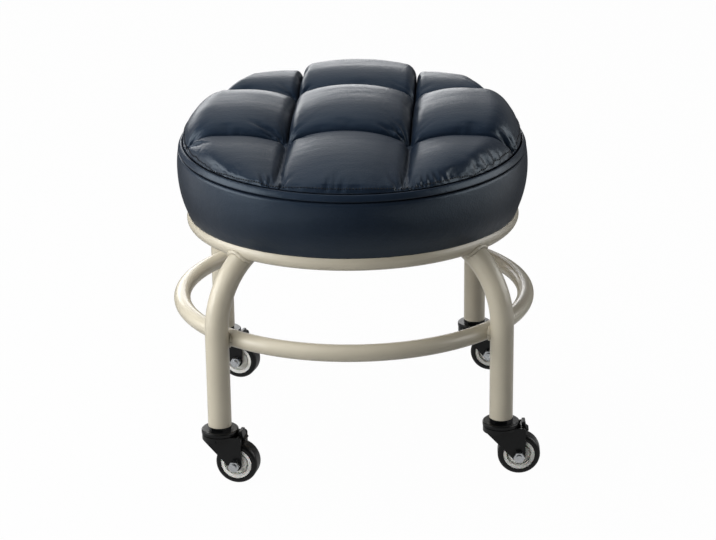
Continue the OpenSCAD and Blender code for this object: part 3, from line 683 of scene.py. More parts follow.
# Creases that the photograph shows. Each gives its puff's column and row, the shares across the
# puff at which it starts and ends, and its half width and depth in millimetres.
CREASES = (
    (1, 1, 0.96, 0.005, 0.80, 0.050, 1.9, 2.8), (1, 1, 0.93, 0.005, 0.85, 0.090, 1.7, 2.4),
    (1, 1, 0.86, 0.004, 0.74, 0.060, 2.0, 1.8), (1, 1, 0.985, 0.010, 0.90, 0.140, 2.2, 1.5),
    (0, 1, 0.93, 0.008, 0.70, 0.110, 1.9, 2.4), (0, 1, 0.88, 0.005, 0.61, 0.130, 2.2, 1.8),
    (0, 1, 0.94, 0.022, 0.80, 0.090, 1.7, 2.0), (0, 1, 0.86, 0.004, 0.74, 0.030, 1.9, 2.1),
    (2, 1, 0.98, 0.022, 0.82, 0.040, 2.0, 3.9), (2, 1, 0.96, 0.010, 0.77, 0.020, 1.8, 2.7),
    (2, 1, 0.99, 0.080, 0.84, 0.090, 1.8, 2.0), (0, 1, 0.02, 0.010, 0.20, 0.050, 1.8, 1.8),
    (1, 0, 0.39, 0.015, 0.43, 0.150, 2.2, 1.0), (1, 0, 0.44, 0.000, 0.47, 0.170, 2.0, 1.3),
    (1, 0, 0.50, 0.000, 0.52, 0.110, 2.2, 0.8), (1, 0, 0.02, 0.015, 0.06, 0.200, 2.0, 1.3),
    (1, 0, 0.99, 0.030, 0.95, 0.280, 2.0, 1.3), (1, 0, 0.93, 0.000, 0.90, 0.100, 2.0, 0.8),
    (0, 0, 0.88, 0.000, 0.90, 0.150, 2.0, 1.4), (0, 0, 0.82, 0.015, 0.77, 0.150, 2.2, 1.3),
    (0, 0, 0.02, 0.890, 0.20, 0.640, 2.0, 1.6), (0, 0, 0.04, 0.990, 0.13, 0.580, 2.0, 1.0),
    (2, 0, 0.08, 0.000, 0.11, 0.160, 2.0, 1.5), (2, 0, 0.16, 0.000, 0.14, 0.180, 2.0, 1.1),
    (2, 0, 0.23, 0.000, 0.18, 0.200, 2.0, 1.3), (2, 0, 0.33, 0.000, 0.25, 0.170, 2.0, 1.1),
    (2, 0, 0.43, 0.000, 0.31, 0.170, 2.0, 1.1), (2, 0, 0.54, 0.000, 0.40, 0.140, 2.0, 1.0),
    (2, 0, 0.64, 0.000, 0.48, 0.140, 2.0, 0.9), (2, 0, 0.97, 0.090, 0.70, 0.350, 4.2, 1.1),
    (2, 0, 0.98, 0.280, 0.79, 0.400, 4.2, 1.1), (2, 0, 0.98, 0.460, 0.84, 0.550, 3.8, 0.9),
    (0, 2, 0.95, 0.050, 0.76, 0.250, 2.2, 0.9), (0, 2, 0.91, 0.050, 0.70, 0.150, 2.2, 0.8),
    (1, 2, 0.95, 0.015, 0.77, 0.110, 2.4, 0.8), (2, 2, 0.02, 0.100, 0.23, 0.280, 2.4, 0.6),
    (2, 2, 0.80, 0.270, 0.69, 0.570, 2.2, 1.1), (1, 2, 0.03, 0.030, 0.12, 0.110, 2.0, 0.6),
)


# Points along a crease, its depth's factor, and the fold beside it as shares of depth and width
CREASE_POINTS, CREASE_PULL, FOLD_SHARE, FOLD_AWAY = 20, 1.6, 0.4, 1.7
# Its width at its start and what it gains by its end, how it fades, and how its points blend
CREASE_START, CREASE_GAIN, CREASE_FADE, CREASE_BLEND = 0.75, 0.5, 0.8, 0.8


def press_crease(depth, points, normals, lines, crease):
    """Adds one crease to the depth map: a groove along a line and a soft fold beside it."""
    a, b, s0, t0, s1, t1, width, deep = crease
    fine = len(lines[0]) - 1
    patch = cell_patch(a, b, fine)
    here = points[patch]
    path = []
    for u in np.linspace(0, 1, CREASE_POINTS):
        i = np.interp(s0 + (s1 - s0) * u, lines[a], np.arange(fine + 1))
        j = np.interp(t0 + (t1 - t0) * u, lines[b], np.arange(fine + 1))
        m, n = min(int(i), fine - 1), min(int(j), fine - 1)
        i, j = i - m, j - n
        path.append(
            (1 - i) * (1 - j) * here[m, n] + i * (1 - j) * here[m + 1, n]
            + (1 - i) * j * here[m, n + 1] + i * j * here[m + 1, n + 1]
        )
    path = np.array(path)
    step = np.gradient(path, axis=0)
    step /= np.maximum(np.linalg.norm(step, axis=-1, keepdims=True), 1e-9)
    away = here[:, :, None, :] - path
    far = np.linalg.norm(away, axis=-1)
    near = far.min(axis=-1)
    weight = np.exp(-(far - near[..., None]) / CREASE_BLEND)
    weight /= weight.sum(axis=-1, keepdims=True)
    run = (weight * np.linspace(0, 1, len(path))).sum(axis=-1)
    aside = np.cross(normals[patch][:, :, None, :], step)
    off = (weight * (away * aside).sum(axis=-1)).sum(axis=-1)
    wide = width * (CREASE_START + CREASE_GAIN * run)
    beyond = np.maximum(near**2 - off**2, 0)
    groove = np.exp(-((near / wide) ** 2))
    fold = np.exp(-((off - FOLD_AWAY * wide) ** 2 + beyond) / wide**2)
    depth[patch] += CREASE_PULL * deep * (groove - FOLD_SHARE * fold) * (1 - run) ** CREASE_FADE


# Pleats round the seam, the least share they are gathered, and where they are gathered most: the
# front right, as radians clockwise from +X, and how wide that is
PLEATS, LEAST_GATHER, GATHER_ANGLE, GATHER_WIDTH = 120, 0.3, 0.95, 0.55
# How far a pleat strays, its length and half width in millimetres, and its depth
PLEAT_STRAY, PLEAT_LONG, PLEAT_WIDE, PLEAT_DEEP = 0.35, (8, 30), (1.3, 2.4), (0.15, 1.0)
# Corner creases: the shares at which they start and end, and their half width and depth
CORNER_START, CORNER_END = (0.0, 0.06), (0.1, 0.3)
CORNER_WIDE, CORNER_DEEP = (1.6, 2.6), (0.2, 0.6)
# The creases fade out this close to a seam, in millimetres
SEAM_FADE = 1.2


def add_creases(points, lines):
    """Presses in the photograph's creases, pleats at the round seam and faint corner creases."""
    draw = random.Random(7)
    plan = turned(points[..., :2], -QUILT_TURN)
    normals = grid_normals(points)
    depth = np.zeros(plan.shape[:2])
    for crease in CREASES:
        press_crease(depth, points, normals, lines, crease)
    radius = np.hypot(plan[..., 0], plan[..., 1])
    angle = np.arctan2(plan[..., 1], plan[..., 0])
    inward = SEAM_R - radius
    for k in range(PLEATS):
        at = math.radians(360 * (k + draw.uniform(-PLEAT_STRAY, PLEAT_STRAY)) / PLEATS)
        aside = ((at + math.pi) % (2 * math.pi) - math.pi + GATHER_ANGLE) / GATHER_WIDTH
        gathered = LEAST_GATHER + (1 - LEAST_GATHER) * math.exp(-(aside**2))
        long, wide = draw.uniform(*PLEAT_LONG), draw.uniform(*PLEAT_WIDE)
        deep = gathered * draw.uniform(*PLEAT_DEEP) ** 1.5
        skew = draw.uniform(-PLEAT_STRAY, PLEAT_STRAY)
        off = ((angle - at + math.pi) % (2 * math.pi) - math.pi) * SEAM_R - skew * inward
        run = np.clip(inward / long, 0, 1)
        depth += deep * np.exp(-((off / (wide * (1 + run))) ** 2)) * (1 - run) ** 1.5
    for a, b in CELLS:
        for low_s, low_t in ((True, True), (True, False), (False, True), (False, False)):
            # The corners that lie on the round seam have none
            if a == (0 if low_s else 2) and b == (0 if low_t else 2):
                continue
            for _ in range(2):
                s0, t0 = draw.uniform(*CORNER_START), draw.uniform(*CORNER_START)
                s1, t1 = draw.uniform(*CORNER_END), draw.uniform(*CORNER_END)
                if not low_s:
                    s0, s1 = 1 - s0, 1 - s1
                if not low_t:
                    t0, t1 = 1 - t0, 1 - t1
                form = draw.uniform(*CORNER_WIDE), draw.uniform(*CORNER_DEEP)
                press_crease(depth, points, normals, lines, (a, b, s0, t0, s1, t1, *form))
    to_channels = [
        np.abs(plan[..., axis] - place)
        for axis, places in ((0, COLUMN_LINES), (1, ROW_LINES)) for place in places
    ]
    free = np.clip(np.minimum.reduce([*to_channels, inward]) / SEAM_FADE, 0, 1)
    return points - normals * (depth * free)[..., None]


# Height of the puffs before the filling swells them, as a share of the full height
UNFILLED_SHARE = 0.95
# The panel's hem: how far in from the seam and how far down each ring of it lies
HEM_RINGS = ((0.5, 0.9), (1.6, 3.3), (12, 2.4))
# Grid steps from the seam to the line of stitches
STITCH_INSET = 3 * FINER


class CREEPER_OT_cushion_top(bpy.types.Operator):
    """Makes the puffed, channel-stitched top panel of the cushion"""

    bl_idname = "creeper.cushion_top"
    bl_label = "Cushion top"

    def execute(self, context):
        points, column, row = panel_points(PANEL_STEPS, UNFILLED_SHARE)
        points = swell(points, PANEL_STEPS)
        points = keep_in_cells(points, column, row)
        points = finer(points, PANEL_STEPS, FINER)
        count = points.shape[0]
        points = add_creases(points, [share_line(k, PANEL_STEPS, FINER) for k in range(3)])
        inward = SEAM_R - np.hypot(points[..., 0], points[..., 1])
        points[..., 2] -= SEAM_DIP * np.exp(-((inward / SEAM_DIP_W) ** 2))
        vertices = list(points.reshape(-1, 3))
        faces = [f[::-1] for f in strip_faces(count, count)]
        rim = rim_loop(count)
        ring = [i * count + j for i, j in rim]
        # The hem turns in at the seam and closes flat over the foam
        for inset, drop in HEM_RINGS:
            first = len(vertices)
            for i, j in rim:
                p = points[i, j]
                scale = 1 - inset / SEAM_R
                vertices.append((p[0] * scale, p[1] * scale, p[2] - drop))
            new_ring = list(range(first, len(vertices)))
            for k in range(len(ring)):
                n = (k + 1) % len(ring)
                faces.append((ring[k], new_ring[k], new_ring[n], ring[n])[::-1])
            ring = new_ring
        faces.append(tuple(ring))
        top = new_piece("cushion_top", vertices, faces, "leatherette")
        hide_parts("quilted_top")
        # The stitching runs just inside the seam
        inner = np.clip(rim, STITCH_INSET, count - 1 - STITCH_INSET)
        context.scene["stitch_line"] = [float(c) for c in points[tuple(inner.T)].reshape(-1)]
        return {"FINISHED"}


# Half a stitch's length, and its thickness along it, in millimetres
STITCH_HALF = 0.8
STITCH_FORM = ((-1.0, 0.25), (-0.7, 0.55), (0.0, 0.62), (0.7, 0.55), (1.0, 0.25))
# How far a stitch stands up in its middle, how far its ends dive from there, and its sides
STITCH_LIFT, STITCH_DIVE, STITCH_SIDES = 0.45, 0.75, 6


class CREEPER_OT_seam_thread(bpy.types.Operator):
    """Sews the round seam of the top panel, stitch by stitch"""

    bl_idname = "creeper.seam_thread"
    bl_label = "Seam thread"

    def execute(self, context):
        line = np.array(context.scene["stitch_line"]).reshape(-1, 3)
        line = np.concatenate([line, line[:1]])
        run = np.concatenate([[0], np.cumsum(np.linalg.norm(np.diff(line, axis=0), axis=1))])
        count = round(run[-1] / (settings().stitch_pitch / MM))
        vertices, faces = [], []
        for k in range(count):
            middle = (k + 0.5) * run[-1] / count
            spine = []
            for share, _ in STITCH_FORM:
                along = (middle + STITCH_HALF * share) % run[-1]
                at = np.array([np.interp(along, run, line[:, c]) for c in range(3)])
                spine.append(at + np.array([0, 0, STITCH_LIFT - STITCH_DIVE * share**4]))
            along = (spine[-1] - spine[0]) / np.linalg.norm(spine[-1] - spine[0])
            across, up = np.cross(along, (0, 0, 1)), np.array([0, 0, 1.0])
            first = len(vertices)
            for at, (_, thick) in zip(spine, STITCH_FORM):
                for side in range(STITCH_SIDES):
                    turn = math.radians(360 / STITCH_SIDES * side)
                    vertices.append(at + thick * (math.cos(turn) * across + math.sin(turn) * up))
            last = len(vertices)
            faces += strip_faces(len(STITCH_FORM), STITCH_SIDES, close_columns=True, first=first)
            faces.append(tuple(range(first, first + STITCH_SIDES)))
            faces.append(tuple(range(last - 1, last - 1 - STITCH_SIDES, -1)))
        new_piece("seam_thread", vertices, faces, "leatherette", look="thread")
        return {"FINISHED"}


# Side of the cushion

# Points round the seat of the cover and of the foam
COVER_AROUND, FOAM_AROUND = 360, 120
# The cover's fold under the board, as radius and height over the ring
FOLD = ((136.0, 0.1), (137.0, 0.05), (154, 0.05), (156.8, -0.9))
# Outlines as distances out and up: the hem rolled down outside the seat ring, from the side's foot;
# the side's edge at the lower seam; the strip's foot there; and its turn into the upper seam
HEM_ROLL = ((-7.7, -2.6), (-5.8, -4.0), (-4.0, -4.6), (-2.2, -4.2), (-0.8, -2.8), (-0.1, -0.8))
SIDE_EDGE = ((-0.05, -1.5), (-0.45, -0.95), (-1.3, -0.75), (-2.3, -1.2), (-2.7, -4))
STRIP_FOOT = ((-2.7, -2.5), (-2.5, -0.1), (-1.6, 0.55))
STRIP_TURN = ((1.9, -1.8), (1.3, -2.3), (0.9, -3.2), (-0.5, -4.6), (-3.2, -4.9))
# The strip's top over the seam's radius and under its height, and its bulge, out and up
STRIP_OUT, STRIP_DOWN, STRIP_BULGE, BULGE_OUT, BULGE_UP = 2.1, 1.7, 0.75, 0.9, 0.45
# Shares of the height at which the side's and the strip's points start and end, and their number
SIDE_RUN, STRIP_RUN = (0.07, 0.965, 26), (0.11, 0.93, 9)
# Slack of the plain side: waves round it, their start, and their height in millimetres
SLACK_WAVES = ((9, 1.3, 0.25), (23, 0.4, 0.12))


def outline_from(radius, height, weight, offsets):
    """Outline points at distances out and up from one place on the cover."""
    return [(radius + out, height + up, weight) for out, up in offsets]


def side_slack(angle, height):
    """How far the plain side stands out or in at an angle and a height."""
    wave = sum(math.sin(count * angle + start) * size for count, start, size in SLACK_WAVES)
    return wave * math.sin(math.pi * min(1, max(0, height / BAND_H))) ** 2


class CREEPER_OT_cushion_side(bpy.types.Operator):
    """Makes the plain side of the cover and the strip between the two seams"""

    bl_idname = "creeper.cushion_side"
    bl_label = "Cushion side"

    def execute(self, context):
        top, seam_height = side_radius(1.0), BAND_H + STRIP_H
        band = outline_from(0, 0, 0, FOLD) + outline_from(side_radius(0.0), 0, 0, HEM_ROLL)
        band += [(side_radius(u), u * BAND_H, u) for u in np.linspace(*SIDE_RUN)]
        band += outline_from(top, BAND_H, 1, SIDE_EDGE)
        cover = turned_cover(band, COVER_AROUND, side_slack)
        side = new_piece("cushion_side", *cover, "leatherette")
        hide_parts("side_band")
        strip = outline_from(top, BAND_H, 1, STRIP_FOOT)
        for u in np.linspace(*STRIP_RUN):
            bulge = math.sin(math.pi * u) ** 0.5 * STRIP_BULGE
            radius = top + (SEAM_R + STRIP_OUT - top) * u + BULGE_OUT * bulge
            height = BAND_H + (STRIP_H - STRIP_DOWN) * u + BULGE_UP * bulge
            strip.append((radius, height, 1))
        strip += outline_from(SEAM_R, seam_height, 1, STRIP_TURN)
        welt = new_piece("seam_welt", *turned_cover(strip, COVER_AROUND), "leatherette")
        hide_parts("seam_strip")
        return {"FINISHED"}


# How far the foam block stays over the board, inside the side and under the panel, its rounded
# edges at the foot and the top as distances in and up or down, and its innermost points' radius
FOAM_LIFT, FOAM_INSET, FOAM_DOWN = 0.3, 2.6, 3.4
FOAM_FOOT_IN, FOAM_FOOT_EDGE, FOAM_TOP_EDGE, FOAM_TOP_IN = 6, (3, 2), (4, 5), 9
FOAM_AXIS_R = 0.01


class CREEPER_OT_foam_core(bpy.types.Operator):
    """Makes the foam block inside the cover"""

    bl_idname = "creeper.foam_core"
    bl_label = "Foam core"

    def execute(self, context):
        low = (BOARD_TOP - RING_TOP) / BAND_H
        side, foot, top = side_radius(low), BAND_H * low, BAND_H + STRIP_H
        outline = [
            (FOAM_AXIS_R, foot + FOAM_LIFT, 0), (side - FOAM_FOOT_IN, foot + FOAM_LIFT, 0),
            (side - FOAM_FOOT_EDGE[0], foot + FOAM_FOOT_EDGE[1], low),
        ]
        for u in np.linspace(low + 0.1, 0.9, 8):
            outline.append((side_radius(u) - FOAM_INSET, u * BAND_H, u))
        outline += [
            (SEAM_R - FOAM_TOP_EDGE[0], top - FOAM_TOP_EDGE[1], 1),
            (SEAM_R - FOAM_TOP_IN, top - FOAM_DOWN, 1), (FOAM_AXIS_R, top - FOAM_DOWN, 1),
        ]
        core = new_piece("foam_core", *turned_cover(outline, FOAM_AROUND), "foam")
        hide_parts("foam_slab")
        return {"FINISHED"}


# Small work: welds and staples

# A bead's points and ripples apart, in millimetres, its ripples' heights as shares, and its sides
BEAD_STEP, RIPPLE_W, RIPPLE, DRIFT, BEAD_SIDES = 0.45, 1.7, 0.10, 0.05, 10
# Points round a leg's saddle and foot, and the sweep along its bend, in degrees a step
SADDLE_POINTS, FOOT_POINTS, SWEEP_STEPS, SWEEP_STEP = 72, 80, 500, 0.18
# How far below the ring's top the saddle's bead stays, clear of the board
BOARD_CLEAR = 3.5
# How far a bead's middle lies outside the tubes at the foot and the saddle, and the radius of the
# straps' beads, as shares of its radius
FOOT_OUT, SADDLE_OUT, STRAP_BEAD = 0.45, 0.35, 0.8
# The straps' beads: their points either side of the middle, how far they stop inside a strap's
# edges, and how far away and down they lie at the ring and at the long strap, in millimetres
STRAP_POINTS, STRAP_INSET, AT_RING, AT_STRAP = 6, 2, (0.3, 0.2), (0.2, 0.1)
# Points over which an open bead tapers at its ends
BEAD_TAPER = 5


def ring_gap(point, ring_r, ring_z):
    """Distance of a point from the centre line of a level ring."""
    return math.hypot(math.hypot(point[0], point[1]) - ring_r, point[2] - ring_z)


def swept(line, section, closed):
    """Points and faces of a section carried along a line; section(k) gives (across, up) pairs."""
    line = [Vector(p) for p in line]
    count = len(line)
    vertices = []
    for k, at in enumerate(line):
        before = line[k - 1] if closed or k else at
        after = line[(k + 1) % count] if closed or k < count - 1 else at
        along = (after - before).normalized()
        across = along.cross(Vector((0, 0, 1)))
        across = across.normalized() if across.length > 1e-6 else Vector((1, 0, 0))
        up = across.cross(along)
        vertices += [at + across * a + up * b for a, b in section(k)]
    sides = len(section(0))
    faces = strip_faces(count, sides, close_rows=closed, close_columns=True)
    if not closed:
        faces += [tuple(range(sides)), tuple(range(count * sides - 1, (count - 1) * sides - 1, -1))]
    return vertices, faces


def bead(line, radius, closed):
    """A weld bead along a line: a round seam with the ripples of the hand-held torch."""
    line = [Vector(p) for p in line]
    if closed:
        line.append(line[0])
    run = [0.0]
    for a, b in zip(line, line[1:]):
        run.append(run[-1] + (b - a).length)
    count = max(12, round(run[-1] / BEAD_STEP))
    even = []
    for k in range(count if closed else count + 1):
        at = run[-1] * k / count
        n = min(bisect.bisect_right(run, at), len(run) - 1)
        share = (at - run[n - 1]) / max(run[n] - run[n - 1], 1e-9)
        even.append(line[n - 1].lerp(line[n], share))
    waves = max(3, round(run[-1] / RIPPLE_W))

    def section(k):
        turn = math.tau * waves * k / count
        thick = radius * (1 + RIPPLE * abs(math.sin(turn / 2)) + DRIFT * math.sin(turn * 0.37))
        if not closed:
            thick *= min(1, (min(k, count - k) + 1) / BEAD_TAPER) ** 0.5
        turns = [math.tau * n / BEAD_SIDES for n in range(BEAD_SIDES)]
        return [(thick * math.cos(a), thick * math.sin(a)) for a in turns]

    return swept(even, section, closed)


def join(groups):
    """Joins lists of (points, faces) into one."""
    points, faces = [], []
    for more_points, more_faces in groups:
        faces += [tuple(index + len(points) for index in face) for face in more_faces]
        points += list(more_points)
    return points, faces


def saddle_line(turn, out):
    """The line where a leg's bend meets the seat ring, a little outside both tubes."""
    bend_x = LEG_CIRCLE_R - LEG_BEND_R
    reach = LEG_BEND_R + LEG_R + TUBE_R - SADDLE_DEPTH
    bend_z = SEAT_RING_Z - math.sqrt(reach**2 - (SEAT_RING_R - bend_x) ** 2)
    line = []
    for k in range(SADDLE_POINTS):
        side = math.tau * k / SADDLE_POINTS
        from_bend = LEG_BEND_R + (LEG_R + out) * math.cos(side)
        found = None
        for step in range(SWEEP_STEPS):
            sweep = math.radians(step * SWEEP_STEP)
            point = (
                bend_x + from_bend * math.cos(sweep), (LEG_R + out) * math.sin(side),
                bend_z + from_bend * math.sin(sweep),
            )
            if ring_gap(point, SEAT_RING_R, SEAT_RING_Z) <= TUBE_R + out:
                found = point
                break
        if found and found[2] < RING_TOP - BOARD_CLEAR:
            line.append(Matrix.Rotation(turn, 3, "Z") @ Vector(found))
        elif line:
            line.append(None)
    return line


def foot_line(turn, out):
    """The closed line where a leg meets the foot ring, a little outside both tubes."""
    wide = LEG_R + out
    nearest = FOOT_RING_R + TUBE_R + out
    reach = math.acos((LEG_CIRCLE_R**2 + wide**2 - nearest**2) / (2 * LEG_CIRCLE_R * wide))
    line = []
    for k in range(FOOT_POINTS):
        around = math.tau * k / FOOT_POINTS
        side = reach * math.cos(around)
        x, y = LEG_CIRCLE_R - wide * math.cos(side), wide * math.sin(side)
        rise = math.sqrt(max(0, (TUBE_R + out) ** 2 - (math.hypot(x, y) - FOOT_RING_R) ** 2))
        z = FOOT_RING_Z + math.copysign(rise, math.sin(around))
        line.append(Matrix.Rotation(turn, 3, "Z") @ Vector((x, y, z)))
    return line


class CREEPER_OT_weld_beads(bpy.types.Operator):
    """Lays the weld beads of the legs, the foot ring and the straps"""

    bl_idname = "creeper.weld_beads"
    bl_label = "Weld beads"

    def execute(self, context):
        radius = settings().bead_radius / MM
        for corner, angle in zip(CORNERS, CORNER_ANGLES):
            turn = math.radians(angle)
            groups = [bead(foot_line(turn, FOOT_OUT * radius), radius, closed=True)]
            runs, run = [], []
            for point in saddle_line(turn, SADDLE_OUT * radius):
                if point is None:
                    if run:
                        runs.append(run)
                    run = []
                else:
                    run.append(point)
            if run and runs:
                runs[0] = run + runs[0]
            elif run:
                runs.append(run)
            whole = len(runs) == 1 and len(runs[0]) >= SADDLE_POINTS
            groups += [bead(run, radius, closed=whole) for run in runs if len(run) > 2]
            new_piece(f"weld_{corner}_leg", *join(groups), "frame_paint")
        groups = []
        end = SEAT_RING_R - math.sqrt(TUBE_R**2 - (TUBE_R - STRAP_T) ** 2) - AT_RING[0]
        half, foot = STRAP_W / 2, RING_TOP - STRAP_T
        steps = range(-STRAP_POINTS, STRAP_POINTS + 1)
        along = [(half - STRAP_INSET) * step / STRAP_POINTS for step in steps]
        for angle in (0, 90, 180, 270):
            turn = Matrix.Rotation(math.radians(angle), 3, "Z")
            lines = [[(math.sqrt(end**2 - y**2), y, foot - AT_RING[1]) for y in along]]
            if angle in (90, 270):
                # The short straps are welded to the edges of the long one
                lines.append([(half + AT_STRAP[0], y, foot - AT_STRAP[1]) for y in along])
            for line in lines:
                line = [turn @ Vector(p) for p in line]
                groups.append(bead(line, STRAP_BEAD * radius, closed=False))
        new_piece("weld_straps", *join(groups), "frame_paint")
        return {"FINISHED"}


# Circle of the staples, how far one strays along and across it, and how far its crown stands down
STAPLE_R, STAPLE_STRAY, STAPLE_SKEW, CROWN_DOWN = 139.6, 0.8, 0.12, 0.25
# The degrees beside a strap's middle where none are driven
STRAP_HALF_ANGLE = 9.5
# A staple's wire as places across and up, and its flat section, in millimetres
STAPLE_LINE = (
    (-5.0, 4.5), (-5.0, 0.8), (-4.75, 0.2), (-4.2, 0.0), (-1.5, -0.05),
    (1.5, -0.05), (4.2, 0.0), (4.75, 0.2), (5.0, 0.8), (5.0, 4.5),
)
STAPLE_SECTION = (
    (-0.6, -0.2), (-0.45, -0.3), (0.45, -0.3), (0.6, -0.2),
    (0.6, 0.2), (0.45, 0.3), (-0.45, 0.3), (-0.6, 0.2),
)


class CREEPER_OT_staples(bpy.types.Operator):
    """Staples the turned-in cover to the underside of the board"""

    bl_idname = "creeper.staples"
    bl_label = "Staples"

    def execute(self, context):
        count = settings().staple_count
        draw = random.Random(11)
        groups = []
        for k in range(count):
            angle = 360 * (k + 0.5) / count + draw.uniform(-STAPLE_STRAY, STAPLE_STRAY)
            if abs((angle + 45) % 90 - 45) < STRAP_HALF_ANGLE:
                continue
            turn = Matrix.Rotation(math.radians(angle), 3, "Z")
            radius = STAPLE_R + draw.uniform(-STAPLE_STRAY, STAPLE_STRAY)
            skew = draw.uniform(-STAPLE_SKEW, STAPLE_SKEW)
            crown = RING_TOP - CROWN_DOWN
            line = [turn @ Vector((radius + skew * a, a, crown + up)) for a, up in STAPLE_LINE]
            out = turn @ Vector((1, 0, 0))
            vertices = []
            for n, at in enumerate(line):
                before, after = line[max(n - 1, 0)], line[min(n + 1, len(line) - 1)]
                normal = (after - before).normalized().cross(out)
                vertices += [at + out * a + normal * b for a, b in STAPLE_SECTION]
            sides, last = len(STAPLE_SECTION), len(vertices) - 1
            faces = strip_faces(len(line), sides, close_columns=True)
            faces += [tuple(range(sides)), tuple(range(last, last - sides, -1))]
            groups.append((vertices, faces))
        new_piece("cover_staples", *join(groups), "zinc_steel")
        return {"FINISHED"}


# Stage

# The camera that the photograph gives, in millimetres and degrees
CAMERA_DISTANCE = 2087.1
CAMERA_TURN = -2.27
CAMERA_RISE = 19.24
CAMERA_ROLL = -0.69
CAMERA_AIM = (4.25, -0.17, 158.32)
CAMERA_LENS = 107.14


def add_camera():
    """Places the camera where the photograph was taken from."""
    turn, rise, roll = (math.radians(a) for a in (CAMERA_TURN, CAMERA_RISE, CAMERA_ROLL))
    flat = math.cos(rise)
    back = Vector((math.sin(turn) * flat, -math.cos(turn) * flat, math.sin(rise)))
    level = (-back).cross(Vector((0, 0, 1))).normalized()
    up = level.cross(-back)
    right = level * math.cos(roll) + up * math.sin(roll)
    top = -level * math.sin(roll) + up * math.cos(roll)
    data = bpy.data.cameras.new("photo_camera")
    data.lens = CAMERA_LENS
    data.sensor_width = 36
    data.clip_start, data.clip_end = 0.05, 50
    camera = bpy.data.objects.new("photo_camera", data)
    place = Vector(CAMERA_AIM) * MM + back * CAMERA_DISTANCE * MM
    turn_to = Matrix((right, top, back)).transposed().to_4x4()
    camera.matrix_world = Matrix.Translation(place) @ turn_to
    bpy.context.scene.collection.objects.link(camera)
    bpy.context.scene.camera = camera


# Each lamp: its name, place, height aimed at, size, power, and the rays that don't see it
LAMPS = (
    # The softbox behind, which lights the far crests
    ("back_softbox", (-0.5, 2.2, 0.7), 0.3, (1.8, 0.5), 10, None),
    # Tall white panels at the sides, which only the gloss shows
    ("left_panel", (-1.5, -0.15, 0.75), 0.25, (1.5, 0.9), 17, "diffuse"),
    ("right_panel", (1.5, -0.15, 0.75), 0.25, (1.5, 0.9), 12, "diffuse"),
    # These light the stool evenly and leave no highlight of their own
    ("left_softbox", (-1.7, -0.6, 0.5), 0.15, (1.0, 0.8), 19, "glossy"),
    ("right_softbox", (1.7, 0.7, 0.6), 0.15, (1.0, 0.8), 14, "glossy"),
    ("overhead_softbox", (-0.7, 0.2, 1.8), 0.2, (1.4, 1.1), 33, "glossy"),
    ("key_softbox", (-1.1, -1.6, 1.5), 0.15, (1.2, 1.0), 21, "glossy"),
)
# The room's light from the camera's side to the back, and what gloss sees of it at most
ROOM_DIM, ROOM_LIGHT, ROOM_GLOSS = 0.04, 0.18, 0.85
# Between which places that light grows; how a way's height, its distance aside and its X count
# beside its Y; and between which sums of these the gloss grows
ROOM_REACH, WAY_SHARES, GLOSS_REACH = (-0.7, 0.9), (1.3, -1.6, -0.7), (0.5, 1.6)
# The floor's grey, the share of it that glows to the camera and to gloss, and half its width
FLOOR_GREY, FLOOR_SEEN, FLOOR_GLOSS, FLOOR_HALF = 0.38, 0.98, 0.9, 8
# How the floor's X and its distance behind count in the gloss, and the gloss far to the sides and
# near the stool: the places in metres where it starts and ends, and its strength at each
LEFT_MORE, REAR_LESS = -0.12, -0.8
FAR_FLOOR, NEAR_FLOOR = (0.2, 0.95, 0.04, 1.0), (0.32, 0.55, 0.48, 0.0)
WHITE = (1, 1, 1, 1)


def add_lamp(name, place, aim, size, power, unseen_by):
    """Adds one soft rectangular lamp, aimed at a height on the stool's axis."""
    data = bpy.data.lights.new(name, "AREA")
    data.shape = "RECTANGLE"
    data.size, data.size_y = size
    data.energy = power
    lamp = bpy.data.objects.new(name, data)
    lamp.location = place
    away = Vector(place) - Vector((0, 0, aim))
    lamp.rotation_euler = away.to_track_quat("Z", "Y").to_euler()
    if unseen_by:
        setattr(lamp, f"visible_{unseen_by}", False)
    bpy.context.scene.collection.objects.link(lamp)


